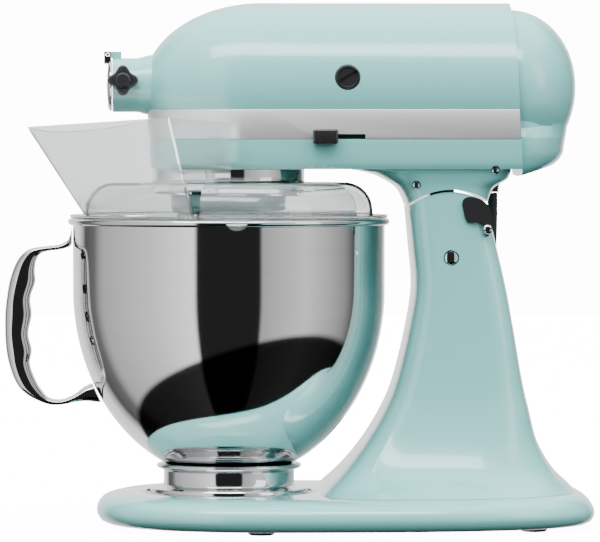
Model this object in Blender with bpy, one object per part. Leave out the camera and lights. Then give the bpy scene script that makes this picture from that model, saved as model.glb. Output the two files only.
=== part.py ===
"""Tilt-head stand mixer with a steel bowl and a clear pouring shield.

Lengths are in millimetres and are turned into metres when a mesh is made.
Points are written from the bowl's axis: X = Y = 0 on the axis, Z = 0 under the feet.
The front of the mixer, where the attachment hub is, looks along -X.
"""
import math

import bmesh
import bpy
from mathutils import Matrix, Vector

MM = 0.001
GAP = 0.3  # between pieces that touch

# ---- stand -------------------------------------------------------------
BASE_FRONT = 91.3  # reach of the base in front of the bowl's axis
BASE_REAR = 251.6  # and behind it
BASE_HALF_WIDTH = 114.0
BASE_CENTRE = 40.0  # where the base is widest
BASE_TOP = 24.0
BASE_BOTTOM = 3.0
STAND_WALL = 6.5
COLUMN_HALF_WIDTH = 45.0
PIVOT_X = 150.7
PIVOT_Z = 185.6
HEAD_TILT = 40.0  # degrees, with the front lifted
JOINT_RADIUS = 44.8  # the column's rounded top, about the pivot
JOINT_GAP = 1.6
HINGE_PIN_RADIUS = 5.0
KNUCKLE_HALF_WIDTH = 14.0
KNUCKLE_RADIUS = 13.0
KNUCKLE_BACK = 4.0  # how far the tongue reaches behind the pin, above its boss
KNUCKLE_CLEARANCE = 1.0
FOOT_RADIUS = 9.0
FEET = ((-62, 0), (20, 86), (20, -86), (206, 62), (206, -62))

# ---- bowl --------------------------------------------------------------
BOWL_RADIUS = 107.5
BOWL_WALL = 1.6
BOWL_RIM_Z = 212.2
BOWL_STRAIGHT_Z = 162.8  # the side is straight above this height
BOWL_CURVE_HEIGHT = 131.0
BOWL_BEAD = 3.4
BOWL_FLAT_RADIUS = 45.0
FOOT_RING_RADIUS = 54.4
PLATE_RADIUS = 60.0
PLATE_SEAT = 20.2  # the floor of the plate's recess
PLATE_WALL = 1.5
HANDLE_REACH = 154.5
HANDLE_HALF_WIDTH = 11.0

# ---- shield ------------------------------------------------------------
SHIELD_WALL = 2.0
SHIELD_RADIUS = 99.0
SHIELD_TOP = 236.7
SHIELD_SHOULDER = 19.0
SHIELD_OPENING = 59.0
SHIELD_FLANGE = 109.5

# ---- head --------------------------------------------------------------
HEAD_AXIS_Z = 302.2
HEAD_RADIUS = 58.0
HEAD_WALL = 3.4
NOSE_CENTRE = 22.6
NOSE_LENGTH = 81.5
CHIN_LENGTH = 76.6
HEAD_REAR = 193.0
HEAD_REAR_LEAN = 0.05  # the parting plane leans back towards the bottom
BAND_TOP = 287.0
BAND_BOTTOM = 266.3
BAND_WALL = 1.5
HEAD_FLOOR = 246.0
COVER_RADIUS = 53.4
COVER_LENGTH = 45.9
HUB_AXIS_Z = 303.6
HUB_RADIUS = 18.6
HUB_BORE = 14.5
HUB_FRONT = 80.2
LID_LUG = 2.1  # half the height of the hinge's lug
LID_HINGE_RISE = HUB_RADIUS + LID_LUG + GAP
LID_HINGE_FRONT = 3.2
LID_PIN = 1.1
KNOB_X = -72.9
MOTOR_Z = 308.4
BRUSH_X = 79.4
LEVER_WIDTH = 17.0
LEVER_FRONT = 55.7
LEVER_Z = 268.2
LEVER_TRAVEL = 18.9
LEVER_SLOT_X = (LEVER_FRONT, LEVER_FRONT + LEVER_WIDTH + LEVER_TRAVEL)
SPEED_WIDTH = 15.0
SPEED_FRONT = 28.0
SPEED_TRAVEL = 45.0
SPEED_SLOT_ROOM = 4.0
SPEED_SLOT_X = (SPEED_FRONT, SPEED_FRONT + SPEED_WIDTH + SPEED_TRAVEL + SPEED_SLOT_ROOM)

# ---- gears -------------------------------------------------------------
RING_MODULE = 3.0
RING_TEETH = 28
PINION_TEETH = 10
SPUR_MODULE = 2.4
CENTRE_TEETH = 20
STEP_TEETH = 10
WORM_MODULE = 1.5
WHEEL_TEETH = 20
WORM_STARTS = 2
WORM_RADIUS = 6.0
BEVEL_TEETH = 12
BEVEL_RADIUS = 13.0

# ---- cord --------------------------------------------------------------
CORD_RADIUS = 3.5
CORD_EXIT = (184.8, 36.0, 229.5)
COIL_CENTRE = (172.0, 166.0)
COIL_RADIUS = 38.5  # at the middle of the turns

# The origin of the part is under the middle of the object.
BOWL_X = -(BASE_REAR - HANDLE_REACH) / 2

COLOURS = {
    "mint_paint": ((0.42, 0.66, 0.63), 0.22, 0.0),
    "polished_steel": ((0.62, 0.62, 0.63), 0.16, 1.0),
    "satin_trim": ((0.86, 0.86, 0.87), 0.25, 1.0),
    "chrome": ((0.80, 0.80, 0.82), 0.08, 1.0),
    "clear_plastic": ((0.88, 0.93, 0.92), 0.05, 0.0),
    "black_plastic": ((0.02, 0.02, 0.02), 0.35, 0.0),
    "black_rubber": ((0.03, 0.03, 0.03), 0.8, 0.0),
    "gear_steel": ((0.42, 0.42, 0.44), 0.35, 1.0),
    "cast_aluminium": ((0.55, 0.56, 0.57), 0.5, 1.0),
    "copper": ((0.72, 0.38, 0.22), 0.35, 1.0),
    "carbon": ((0.05, 0.05, 0.05), 0.7, 0.0),
}

bodies = {}


# ---- helpers -----------------------------------------------------------
def material(name):
    """One Principled material for each finish, made on first use."""
    if name in bpy.data.materials:
        return bpy.data.materials[name]
    colour, roughness, metallic = COLOURS[name]
    made = bpy.data.materials.new(name)
    made.use_nodes = True
    shader = made.node_tree.nodes["Principled BSDF"]
    shader.inputs["Base Color"].default_value = (*colour, 1)
    shader.inputs["Roughness"].default_value = roughness
    shader.inputs["Metallic"].default_value = metallic
    if name == "clear_plastic":
        shader.inputs["Transmission Weight"].default_value = 0.95
        shader.inputs["IOR"].default_value = 1.5
    return made


def body(name, place, parent=None):
    """An empty on the joint's axis that carries the pieces of one moving body."""
    empty = bpy.data.objects.new(name + "_frame", None)
    bpy.context.collection.objects.link(empty)
    start = bodies[parent]["place"] if parent else Vector((-BOWL_X, 0, 0))
    if parent:
        empty.parent = bodies[parent]["empty"]
    bodies[name] = {"empty": empty, "place": Vector(place)}
    empty.location = (Vector(place) - start) * MM


def piece(name, mesh, rides, finish, smooth=40):
    """A named object that rides on a body, from a bmesh in bowl millimetres."""
    bmesh.ops.remove_doubles(mesh, verts=mesh.verts, dist=0.0005)
    bmesh.ops.recalc_face_normals(mesh, faces=mesh.faces)
    move = Matrix.Scale(MM, 4) @ Matrix.Translation(-bodies[rides]["place"])
    mesh.transform(move)
    data = bpy.data.meshes.new(name)
    mesh.to_mesh(data)
    mesh.free()
    data.materials.append(material(finish))
    made = bpy.data.objects.new(name, data)
    bpy.context.collection.objects.link(made)
    made.parent = bodies[rides]["empty"]
    data.shade_smooth()
    data.set_sharp_from_angle(angle=math.radians(smooth))
    return made


def solid(mesh):
    """A loose object for a Boolean, from a bmesh in bowl millimetres."""
    bmesh.ops.remove_doubles(mesh, verts=mesh.verts, dist=0.0005)
    bmesh.ops.recalc_face_normals(mesh, faces=mesh.faces)
    data = bpy.data.meshes.new("tool")
    mesh.to_mesh(data)
    mesh.free()
    made = bpy.data.objects.new("tool", data)
    bpy.context.collection.objects.link(made)
    return made


def combine(mesh, *steps):
    """A bmesh after Booleans; each step is ("UNION" or "DIFFERENCE" or "INTERSECT", tool bmesh)."""
    base = solid(mesh)
    for operation, tool_mesh in steps:
        tool = solid(tool_mesh)
        change = base.modifiers.new("cut", "BOOLEAN")
        change.operation = operation
        change.solver = "EXACT"
        change.object = tool
        shown = base.evaluated_get(bpy.context.evaluated_depsgraph_get())
        result = bpy.data.meshes.new_from_object(shown)
        base.modifiers.clear()
        base.data = result
        bpy.data.objects.remove(tool)
    out = bmesh.new()
    out.from_mesh(base.data)
    bpy.data.objects.remove(base)
    bmesh.ops.dissolve_degenerate(out, dist=0.001, edges=out.edges)
    return out


def turn_to(axis, centre):
    """Turns +Z to X or Y and moves to the centre."""
    turns = {
        "Z": Matrix.Identity(4),
        "X": Matrix.Rotation(math.radians(90), 4, "Y"),
        "Y": Matrix.Rotation(math.radians(-90), 4, "X"),
    }
    return Matrix.Translation(Vector(centre)) @ turns[axis]


def lathe(outline, steps=32, axis="Z", centre=(0, 0, 0), phase=0.0):
    """Turns a closed outline of (radius, height) points once about an axis."""
    mesh = bmesh.new()
    turn = Matrix.Rotation(math.radians(phase), 4, "Z")
    points = [mesh.verts.new(turn @ Vector((radius, 0, height))) for radius, height in outline]
    edges = []
    for index, point in enumerate(points):
        following = points[(index + 1) % len(points)]
        on_axis = outline[index][0] == 0 and outline[(index + 1) % len(points)][0] == 0
        if not on_axis:
            edges.append(mesh.edges.new((point, following)))
    bmesh.ops.spin(mesh, geom=points + edges, angle=2 * math.pi, steps=steps, axis=(0, 0, 1),
                   cent=(0, 0, 0), use_merge=True)
    bmesh.ops.remove_doubles(mesh, verts=mesh.verts, dist=0.0005)
    mesh.transform(turn_to(axis, centre))
    return mesh


def rod(radius, low, high, axis="Z", centre=(0, 0, 0), steps=16, edge=0.0):
    """A round bar between two heights along its axis, with chamfered ends.

    It is turned by a third of a side, so that no corner lines up with those of what it cuts.
    """
    outline = [(0, low), (radius - edge, low), (radius, low + edge), (radius, high - edge),
               (radius - edge, high), (0, high)]
    if edge == 0:
        outline = [(0, low), (radius, low), (radius, high), (0, high)]
    return lathe(outline, steps, axis, centre, phase=120 / steps)


def tube(outer, inner, low, high, axis="Z", centre=(0, 0, 0), steps=24):
    return lathe([(inner, low), (outer, low), (outer, high), (inner, high)], steps, axis, centre)


def block(low, high, edge=0.0):
    """A box between two corners, with bevelled edges."""
    mesh = bmesh.new()
    bmesh.ops.create_cube(mesh, size=1)
    size = [high[i] - low[i] for i in range(3)]
    middle = [(high[i] + low[i]) / 2 for i in range(3)]
    bmesh.ops.scale(mesh, vec=size, verts=mesh.verts)
    if edge:
        bmesh.ops.bevel(mesh, geom=mesh.edges, offset=edge, segments=1, profile=0.5,
                        affect="EDGES", material=-1)
    bmesh.ops.translate(mesh, vec=middle, verts=mesh.verts)
    return mesh


def prism(outline, low, high, axis="Y"):
    """Extrudes an outline of (X, Z) points along Y, or of (X, Y) points along Z."""
    mesh = bmesh.new()
    if axis == "Y":
        points = [mesh.verts.new((x, low, z)) for x, z in outline]
        move = (0, high - low, 0)
    else:
        points = [mesh.verts.new((x, y, low)) for x, y in outline]
        move = (0, 0, high - low)
    face = mesh.faces.new(points)
    grown = bmesh.ops.extrude_face_region(mesh, geom=[face], use_keep_orig=True)
    corners = [item for item in grown["geom"] if isinstance(item, bmesh.types.BMVert)]
    bmesh.ops.translate(mesh, vec=move, verts=corners)
    bmesh.ops.recalc_face_normals(mesh, faces=mesh.faces)
    return mesh


def skin(rings, capped=True):
    """Faces between rings of equal numbers of points, with flat ends."""
    mesh = bmesh.new()
    loops = [[mesh.verts.new(point) for point in ring] for ring in rings]
    count = len(loops[0])
    for lower, upper in zip(loops, loops[1:]):
        for i in range(count):
            j = (i + 1) % count
            mesh.faces.new((lower[i], lower[j], upper[j], upper[i]))
    if capped:
        mesh.faces.new(list(reversed(loops[0])))
        mesh.faces.new(loops[-1])
    return mesh


def arc(centre, radius, first, last, steps):
    """Points on an arc in the plane of an outline, angles in degrees."""
    found = []
    for i in range(steps + 1):
        angle = math.radians(first + (last - first) * i / steps)
        found.append((centre[0] + radius * math.cos(angle), centre[1] + radius * math.sin(angle)))
    return found


def gear_outline(teeth, module, thick=0.40, phase=0.0, internal=False):
    """A gear's outline: trapezoid teeth about the pitch circle, thick is their share of the pitch."""
    pitch = teeth * module / 2
    tip = pitch + (-module if internal else module) * 0.85
    root = pitch + (module if internal else -module) * 1.1
    step = 360 / teeth
    found = []
    for tooth in range(teeth):
        middle = phase + tooth * step
        for radius, offset in ((root, -thick * 0.72), (tip, -thick * 0.30), (tip, thick * 0.30),
                               (root, thick * 0.72)):
            angle = math.radians(middle + offset * step)
            found.append((radius * math.cos(angle), radius * math.sin(angle)))
    return found


def circle_like(ring, radius, height=None):
    """A round ring with one point beside each point of another ring."""
    found = []
    for point in ring:
        flat = math.hypot(point.x, point.y)
        found.append(Vector((point.x / flat * radius, point.y / flat * radius,
                             point.z if height is None else height)))
    return found


def cylinder_gear(outline, low, high, round_radius, twist=0.0, centre=(0, 0)):
    """A gear along Z between its toothed outline and a round wall: its bore, or a ring gear's rim."""
    layers = []
    for height, angle in ((low, -twist / 2), (high, twist / 2)):
        turn = Matrix.Rotation(math.radians(angle), 4, "Z")
        layers.append([turn @ Vector((x, y, height)) for x, y in outline])
    walls = [circle_like(layer, round_radius) for layer in layers]
    mesh = skin([layers[0], layers[1], walls[1], walls[0], layers[0]], capped=False)
    bmesh.ops.remove_doubles(mesh, verts=mesh.verts, dist=0.0005)
    mesh.transform(Matrix.Translation((centre[0], centre[1], 0)))
    return mesh


def bevel_gear(phase, bore, place, thick=0.36, half_cone=45.0, face=5.0):
    """A bevel gear about +Z with its apex at the origin, moved into place by a matrix."""
    outer = BEVEL_RADIUS / math.sin(math.radians(half_cone))
    step = 360 / BEVEL_TEETH
    tooth = math.degrees(2 / BEVEL_TEETH * math.sin(math.radians(half_cone)))
    root, tip = half_cone - 1.15 * tooth, half_cone + 0.8 * tooth
    rings = []
    for length in (outer - face, outer):
        ring = []
        for index in range(BEVEL_TEETH):
            for cone, offset in ((root, -0.75), (tip, -0.32), (tip, 0.32), (root, 0.75)):
                around = math.radians(phase + (index + offset * thick) * step)
                flat = length * math.sin(math.radians(cone))
                ring.append(Vector((flat * math.cos(around), flat * math.sin(around),
                                    length * math.cos(math.radians(cone)))))
        rings.append(ring)
    front = circle_like(rings[0], bore, (outer - face) * math.cos(math.radians(root)))
    back = circle_like(rings[1], bore, outer * math.cos(math.radians(root)) + 2.0)
    collar = circle_like(rings[1], bore + 3.0, outer * math.cos(math.radians(root)) + 2.0)
    mesh = skin([rings[0], rings[1], collar, back, front, rings[0]], capped=False)
    bmesh.ops.remove_doubles(mesh, verts=mesh.verts, dist=0.0005)
    mesh.transform(place)
    return mesh


# ---- stand -------------------------------------------------------------
# Each section: height, front, rear, half width, front and rear roundness, centre.
STAND_SECTIONS = (
    (BASE_BOTTOM, 7.3 - BASE_FRONT, BASE_REAR - 5.6, BASE_HALF_WIDTH - 7, 2.3, 3.0, BASE_CENTRE),
    (5.5, 2.5 - BASE_FRONT, BASE_REAR - 1.6, BASE_HALF_WIDTH - 2.5, 2.3, 3.0, BASE_CENTRE),
    (11.0, -BASE_FRONT, BASE_REAR, BASE_HALF_WIDTH, 2.3, 3.0, BASE_CENTRE),
    (17.0, 1.5 - BASE_FRONT, BASE_REAR - 2.6, BASE_HALF_WIDTH - 1.5, 2.3, 3.0, BASE_CENTRE),
    (21.5, 6.3 - BASE_FRONT, BASE_REAR - 6.6, BASE_HALF_WIDTH - 6.5, 2.3, 3.0, BASE_CENTRE),
    (BASE_TOP, 15.3 - BASE_FRONT, BASE_REAR - 10.6, BASE_HALF_WIDTH - 15, 2.3, 3.0, BASE_CENTRE),
    (BASE_TOP + 0.3, 62.0, BASE_REAR - 13.0, 91.0, 5.0, 2.5, 130.0),
    (29.5, 66.0, BASE_REAR - 17.5, 80.0, 5.0, 2.6, 132.0),
    (41.0, 77.8, 222.5, 66.5, 5.0, 3.0, 138.0),
    (59.0, 92.3, 212.0, 57.0, 5.0, 3.6, 144.0),
    (81.0, 105.4, 206.0, 51.0, 5.0, 4.2, 150.0),
    (101.0, 113.6, 201.3, 48.3, 5.0, 4.6, 153.0),
    (134.0, 121.7, 195.5, COLUMN_HALF_WIDTH + 1.3, 5.0, 5.0, 156.0),
    (165.0, 126.5, 189.8, COLUMN_HALF_WIDTH + 0.3, 5.0, 5.0, 156.0),
    (195.0, 124.3, 182.8, COLUMN_HALF_WIDTH, 5.0, 5.0, 153.0),
    (222.0, 121.8, 176.2, COLUMN_HALF_WIDTH, 5.0, 5.0, 149.0),
    (236.0, 120.6, 173.0, COLUMN_HALF_WIDTH, 5.0, 5.0, 147.0),
)


def oval(section, inset=0.0, height=None, steps=28):
    """The outline of one section: a rounded rectangle that is rounder where its number is near 2."""
    z, front, rear, half, front_round, rear_round, centre = section
    found = []
    for i in range(steps):
        angle = 2 * math.pi * i / steps
        c, s = math.cos(angle), math.sin(angle)
        power = 2 / (rear_round if c >= 0 else front_round)
        reach = (rear - centre if c >= 0 else centre - front) - inset
        found.append(Vector((centre + math.copysign(reach * abs(c) ** power, c),
                             math.copysign((half - inset) * abs(s) ** power, s),
                             z if height is None else height)))
    return found


def stand_outside(inset=0.0):
    return skin([oval(section, inset) for section in STAND_SECTIONS])


def stand_inside():
    """The hollow under the base and up the column, open at the bottom."""
    rings = [oval(STAND_SECTIONS[1], STAND_WALL, height=-2.0, steps=20)]
    for section in STAND_SECTIONS[2:13]:
        rings.append(oval(section, STAND_WALL, height=section[0] - STAND_WALL, steps=20))
    rings.append(oval(STAND_SECTIONS[13], STAND_WALL, height=STAND_SECTIONS[13][0] - 10.0, steps=20))
    return skin(rings)


def above_joint(radius):
    """Everything over the column's round top, as far as the head's underside reaches."""
    pivot = (PIVOT_X, PIVOT_Z)
    low = 36.0
    outline = arc(pivot, radius, low, 180 - low, 20)
    floor = outline[0][1]
    outline += [(PIVOT_X - 70, floor), (PIVOT_X - 70, 260), (PIVOT_X + 70, 260), (PIVOT_X + 70, floor)]
    return prism(outline, -70, 70)


def knuckle_slot():
    """The room that the head's knuckle swings in, from upright to fully tilted."""
    half = KNUCKLE_HALF_WIDTH + KNUCKLE_CLEARANCE
    radius = KNUCKLE_RADIUS + KNUCKLE_CLEARANCE
    back = KNUCKLE_BACK + KNUCKLE_CLEARANCE
    reach = JOINT_RADIUS + 15
    tilted = math.radians(90 - HEAD_TILT)
    last = 360 + 90 - HEAD_TILT - math.degrees(math.asin(back / radius))
    outline = arc((PIVOT_X, PIVOT_Z), radius, 180, last, 16)
    outline += [(PIVOT_X + back * math.sin(tilted) + reach * math.cos(tilted),
                 PIVOT_Z - back * math.cos(tilted) + reach * math.sin(tilted)),
                (PIVOT_X - radius, PIVOT_Z + reach)]
    return prism(outline, -half, half)


def clamp_screw_places():
    return [(24 * math.cos(a), 24 * math.sin(a)) for a in (math.pi / 3 * k for k in (0, 2, 4))]


def make_stand():
    steps = [("DIFFERENCE", above_joint(JOINT_RADIUS)), ("DIFFERENCE", stand_inside())]
    for x, y in FEET:
        steps.append(("UNION", rod(FOOT_RADIUS + 2, BASE_BOTTOM, BASE_TOP - 5, centre=(x, y, 0), steps=14)))
        steps.append(("DIFFERENCE", rod(3.3, 0, 9, centre=(x, y, 0), steps=12)))
    steps.append(("DIFFERENCE", rod(PLATE_RADIUS + GAP, PLATE_SEAT, 40, steps=36)))
    for x, y in clamp_screw_places():
        steps.append(("DIFFERENCE", rod(2.4, 0, 40, centre=(x, y, 0), steps=12)))
    steps.append(("DIFFERENCE", knuckle_slot()))
    steps.append(("DIFFERENCE", rod(HINGE_PIN_RADIUS + GAP, -60, 60, "Y", (PIVOT_X, 0, PIVOT_Z))))
    piece("pedestal", combine(stand_outside(), *steps), "stand", "mint_paint")

    for number, (x, y) in enumerate(FEET, 1):
        outline = [(0, 0), (FOOT_RADIUS - 1, 0), (FOOT_RADIUS, 1), (FOOT_RADIUS, BASE_BOTTOM - GAP),
                   (3, BASE_BOTTOM - GAP), (3, 8), (0, 8)]
        piece(f"rubber_foot_{number}", lathe(outline, 14, centre=(x, y, 0)), "stand", "black_rubber")

    low = PLATE_SEAT + GAP
    plate = lathe([(8, low), (PLATE_RADIUS, low), (PLATE_RADIUS, BASE_TOP + 0.6),
                   (PLATE_RADIUS - 2.6, BASE_TOP + 0.6), (PLATE_RADIUS - 2.6, low + PLATE_WALL), (8, low + PLATE_WALL)], 36)
    holes = [("DIFFERENCE", rod(2.4, 0, 40, centre=(x, y, 0), steps=12)) for x, y in clamp_screw_places()]
    piece("bowl_clamp_plate", combine(plate, *holes), "stand", "polished_steel")
    for number, (x, y) in enumerate(clamp_screw_places(), 1):
        top = low + PLATE_WALL + GAP
        outline = [(0, 12), (2.1, 12), (2.1, top), (4.2, top), (4.2, top + 1), (3, top + 2), (0, top + 2)]
        piece(f"clamp_plate_screw_{number}", lathe(outline, 12, centre=(x, y, 0)), "stand", "chrome")

    reach = COLUMN_HALF_WIDTH + 1.2
    pin = lathe([(0, -reach), (3, 0.5 - reach), (HINGE_PIN_RADIUS, 2 - reach),
                 (HINGE_PIN_RADIUS, reach - 2), (3, reach - 0.5), (0, reach)], 16, "Y", (PIVOT_X, 0, PIVOT_Z))
    piece("hinge_pin", pin, "stand", "chrome")

    cover = prism([(157.8, 222.2), (158.8, 226.0), (161.9, 227.6), (166.8, 226.8), (171.6, 225.4), (176.1, 221.8),
                   (179.0, 212.0), (177.6, 203.5), (175.6, 199.4), (173.0, 202.5), (171.6, 209.8), (161.9, 209.8),
                   (160.0, 212.0)], -COLUMN_HALF_WIDTH - 2.6, -30)
    head_screw = (175.3, 0, 205.0)
    steps = [("DIFFERENCE", stand_outside(-GAP)),
             ("DIFFERENCE", rod(1.9, -60, -20, "Y", head_screw, 12))]
    piece("hinge_gap_cover", combine(cover, *steps), "stand", "black_plastic")
    reach = COLUMN_HALF_WIDTH + 2.6
    screw = lathe([(0, reach - 4), (1.6, reach - 4), (1.6, reach + GAP), (3.2, reach + GAP), (3.0, reach + 1.2),
                   (0, reach + 1.8)], 12)
    screw.transform(Matrix.Translation(head_screw) @ Matrix.Rotation(math.radians(90), 4, "X"))
    piece("gap_cover_screw", screw, "stand", "chrome")


# ---- head housings -----------------------------------------------------
SPLIT_Z = (BAND_TOP + BAND_BOTTOM) / 2
BAND_ANGLE = math.degrees(math.asin((BAND_TOP - HEAD_AXIS_Z) / HEAD_RADIUS))
SIDE_TOP = HEAD_RADIUS * math.cos(math.radians(BAND_ANGLE))
NOSE_TOP = NOSE_LENGTH * math.cos(math.radians(BAND_ANGLE))
SIDE_BOTTOM = SIDE_TOP - 0.2
SIDE_MIDDLE = (SIDE_TOP + SIDE_BOTTOM) / 2
NOSE_MIDDLE = (NOSE_TOP + CHIN_LENGTH) / 2


def dome_profile(radius, length, first, last, steps, axis_z=HEAD_AXIS_Z):
    """(half width, reach, height) down a round shell from its ridge."""
    found = []
    for i in range(steps + 1):
        angle = math.radians(first + (last - first) * i / steps)
        c = 0.0 if first == 90 and i == 0 else math.cos(angle)
        found.append((radius * c, length * c, axis_z + radius * math.sin(angle)))
    return found


def bullet_shell(outer, inner, centre, rear, lean=0.0, turn=-1, steps=10):
    """A shell with a rounded nose and a flat open end.

    outer and inner are equal lists of (half width, reach of the nose, height), top to bottom.
    turn is -1 for a nose towards -X and 1 for a nose towards +X.
    """
    chain = outer + inner[::-1]

    def flat_end(z):
        return rear + lean * (HEAD_AXIS_Z + HEAD_RADIUS - z)

    stations = [[Vector((flat_end(z), -w, z)) for w, a, z in chain]]
    for i in range(steps + 1):
        angle = math.pi * i / steps
        stations.append([Vector((centre + turn * a * math.sin(angle), -w * math.cos(angle), z))
                         for w, a, z in chain])
    stations.append([Vector((flat_end(z), w, z)) for w, a, z in chain])
    mesh = bmesh.new()
    grid = [[mesh.verts.new(point) for point in station] for station in stations]
    count = len(chain)
    for here, there in zip(grid, grid[1:]):
        for j in range(count):
            k = (j + 1) % count
            if chain[j][0] == 0 and chain[k][0] == 0:
                continue
            mesh.faces.new((here[j], here[k], there[k], there[j]))
    for station in (grid[0], grid[-1]):
        for j in range(len(outer) - 1):
            mesh.faces.new((station[j], station[j + 1], station[count - 2 - j], station[count - 1 - j]))
    bmesh.ops.remove_doubles(mesh, verts=mesh.verts, dist=0.0005)
    bmesh.ops.recalc_face_normals(mesh, faces=mesh.faces)
    return mesh


def slot(x_range, side, height=3.3, travel_room=0.0):
    """The opening in the side of the head that a lever runs in."""
    near, far = sorted((side * 45, side * 70))
    return block((x_range[0] - travel_room, near, LEVER_Z - height / 2),
                 (x_range[1] + travel_room, far, LEVER_Z + height / 2))


def make_upper_housing():
    outer = dome_profile(HEAD_RADIUS, NOSE_LENGTH, 90, BAND_ANGLE, 7)
    inner = dome_profile(HEAD_RADIUS - HEAD_WALL, NOSE_LENGTH - HEAD_WALL, 90, BAND_ANGLE, 7)
    step = BAND_WALL + GAP
    outer += [(SIDE_TOP - step, NOSE_TOP - step, BAND_TOP), (SIDE_MIDDLE - step, NOSE_MIDDLE - step, SPLIT_Z + GAP / 2)]
    side, nose = inner[-1][:2]
    inner += [(side, nose, (BAND_TOP + SPLIT_Z) / 2), (side, nose, SPLIT_Z + GAP / 2)]
    shell = bullet_shell(outer, inner, NOSE_CENTRE, HEAD_REAR, HEAD_REAR_LEAN)
    hub = rod(HUB_RADIUS, -HUB_FRONT, -50, "X", (0, 0, HUB_AXIS_Z), 28)
    hinge = hub_hinge()
    # The lug's underside steps up ahead of the hub's face, so that the face stays free.
    low, high = hinge[2] - LID_LUG, hinge[2] + LID_LUG
    root = HUB_AXIS_Z + HUB_RADIUS - 1.4
    lug = prism([(-HUB_FRONT + 1.0, root), (-HUB_FRONT - 0.3, low), (hinge[0] - 1.8, low), (hinge[0] - 2.6, low + 0.8),
                 (hinge[0] - 2.6, high - 0.8), (hinge[0] - 1.8, high), (-74, high), (-74, root)], -3, 3)
    steps = [("UNION", hub), ("UNION", lug),
             ("DIFFERENCE", rod(3.4, -30, 0, "Y", (KNOB_X, 0, HUB_AXIS_Z + 3), 12)),
             ("DIFFERENCE", rod(HUB_BORE, -100, -40, "X", (0, 0, HUB_AXIS_Z), 28)),
             ("DIFFERENCE", rod(LID_PIN + GAP, -10, 10, "Y", hinge, 12)),
             ("DIFFERENCE", rod(8.7, -70, 70, "Y", (BRUSH_X, 0, MOTOR_Z), 24))]
    piece("upper_housing", combine(shell, *steps), "head", "mint_paint")


# Sections of the lobe that sits on the column: height, front, rear, half width, roundness.
LOBE_SECTIONS = (
    (221.0, 121.6, 177.0, 45.6), (226.3, 119.9, 178.0, 46.0), (233.2, 115.7, 181.5, 47.0),
    (238.7, 107.4, 190.2, 48.6), (242.9, 97.8, 192.8, 50.2), (246.0, 84.0, 193.4, 51.6),
    (252.0, 70.0, 193.4, 52.0),
)


def lobe():
    rings = []
    for height, front, rear, half in LOBE_SECTIONS:
        rings.append(oval((height, front, rear, half, 5.0, 5.0, (front + rear) / 2)))
    return skin(rings)


def knuckle():
    """The tongue that reaches down into the column, with its boss round the pin."""
    last = 360 + math.degrees(math.acos(KNUCKLE_BACK / KNUCKLE_RADIUS))
    outline = arc((PIVOT_X, PIVOT_Z), KNUCKLE_RADIUS, 180, last, 14)
    outline += [(PIVOT_X + KNUCKLE_BACK, 240), (PIVOT_X - KNUCKLE_RADIUS, 240)]
    return prism(outline, -KNUCKLE_HALF_WIDTH, KNUCKLE_HALF_WIDTH)


def joint_hollow():
    """The round hollow under the lobe that turns over the column's top."""
    return rod(JOINT_RADIUS + JOINT_GAP, -70, 70, "Y", (PIVOT_X, 0, PIVOT_Z), 72)


HOUSING_SCREWS = ((126.7, 235.3, 46.0), (180.3, 245.4, 48.8))


def make_lower_housing():
    step = BAND_WALL + GAP
    chin = CHIN_LENGTH
    outer = [(SIDE_BOTTOM - step, chin - step, SPLIT_Z - GAP / 2), (SIDE_BOTTOM - step, chin - step, BAND_BOTTOM),
             (SIDE_BOTTOM, chin, BAND_BOTTOM), (SIDE_BOTTOM - 0.6, chin, 257), (SIDE_BOTTOM - 1.6, chin - 0.4, 250),
             (SIDE_BOTTOM - 3.2, chin - 1.8, HEAD_FLOOR), (0, 0, HEAD_FLOOR)]
    thick = HEAD_WALL + 1.8
    floor = HEAD_FLOOR + HEAD_WALL + 0.2
    inner = [(SIDE_BOTTOM - thick, chin - thick, SPLIT_Z - GAP / 2), (SIDE_BOTTOM - thick, chin - thick, 270),
             (SIDE_BOTTOM - thick, chin - thick, 263), (SIDE_BOTTOM - thick, chin - thick, 257),
             (SIDE_BOTTOM - thick - 0.4, chin - thick - 0.4, 252),
             (SIDE_BOTTOM - thick - 1.5, chin - thick - 1.5, floor), (0, 0, floor)]
    shell = bullet_shell(outer, inner, NOSE_CENTRE, HEAD_REAR, HEAD_REAR_LEAN)
    exit_x, exit_y = CORD_EXIT[:2]
    steps = [("UNION", lobe()), ("DIFFERENCE", joint_hollow()), ("UNION", knuckle()),
             ("DIFFERENCE", rod(HINGE_PIN_RADIUS + GAP, -60, 60, "Y", (PIVOT_X, 0, PIVOT_Z))),
             ("DIFFERENCE", slot(LEVER_SLOT_X, -1)), ("DIFFERENCE", slot(SPEED_SLOT_X, 1)),
             ("DIFFERENCE", rod(12.0, 240, 260, steps=24)),
             ("DIFFERENCE", rod(7.4, 222, 256, centre=(exit_x, exit_y, 0), steps=20))]
    for x, z, half in HOUSING_SCREWS:
        for side in (-1, 1):
            low, high = sorted((side * (half - 4), side * 60))
            steps.append(("DIFFERENCE", rod(3.0, low, high, "Y", (x, 0, z), 12)))
    piece("lower_housing", combine(shell, *steps), "head", "mint_paint")
    for name, side in (("left", -1), ("right", 1)):
        for place, (x, z, half) in zip(("front", "rear"), HOUSING_SCREWS):
            low, high = sorted((side * (half - 4 + GAP), side * (half + 0.2)))
            made = rod(2.65, low, high, "Y", (x, 0, z), 12)
            piece(f"housing_screw_{name}_{place}", made, "head", "chrome")


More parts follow.
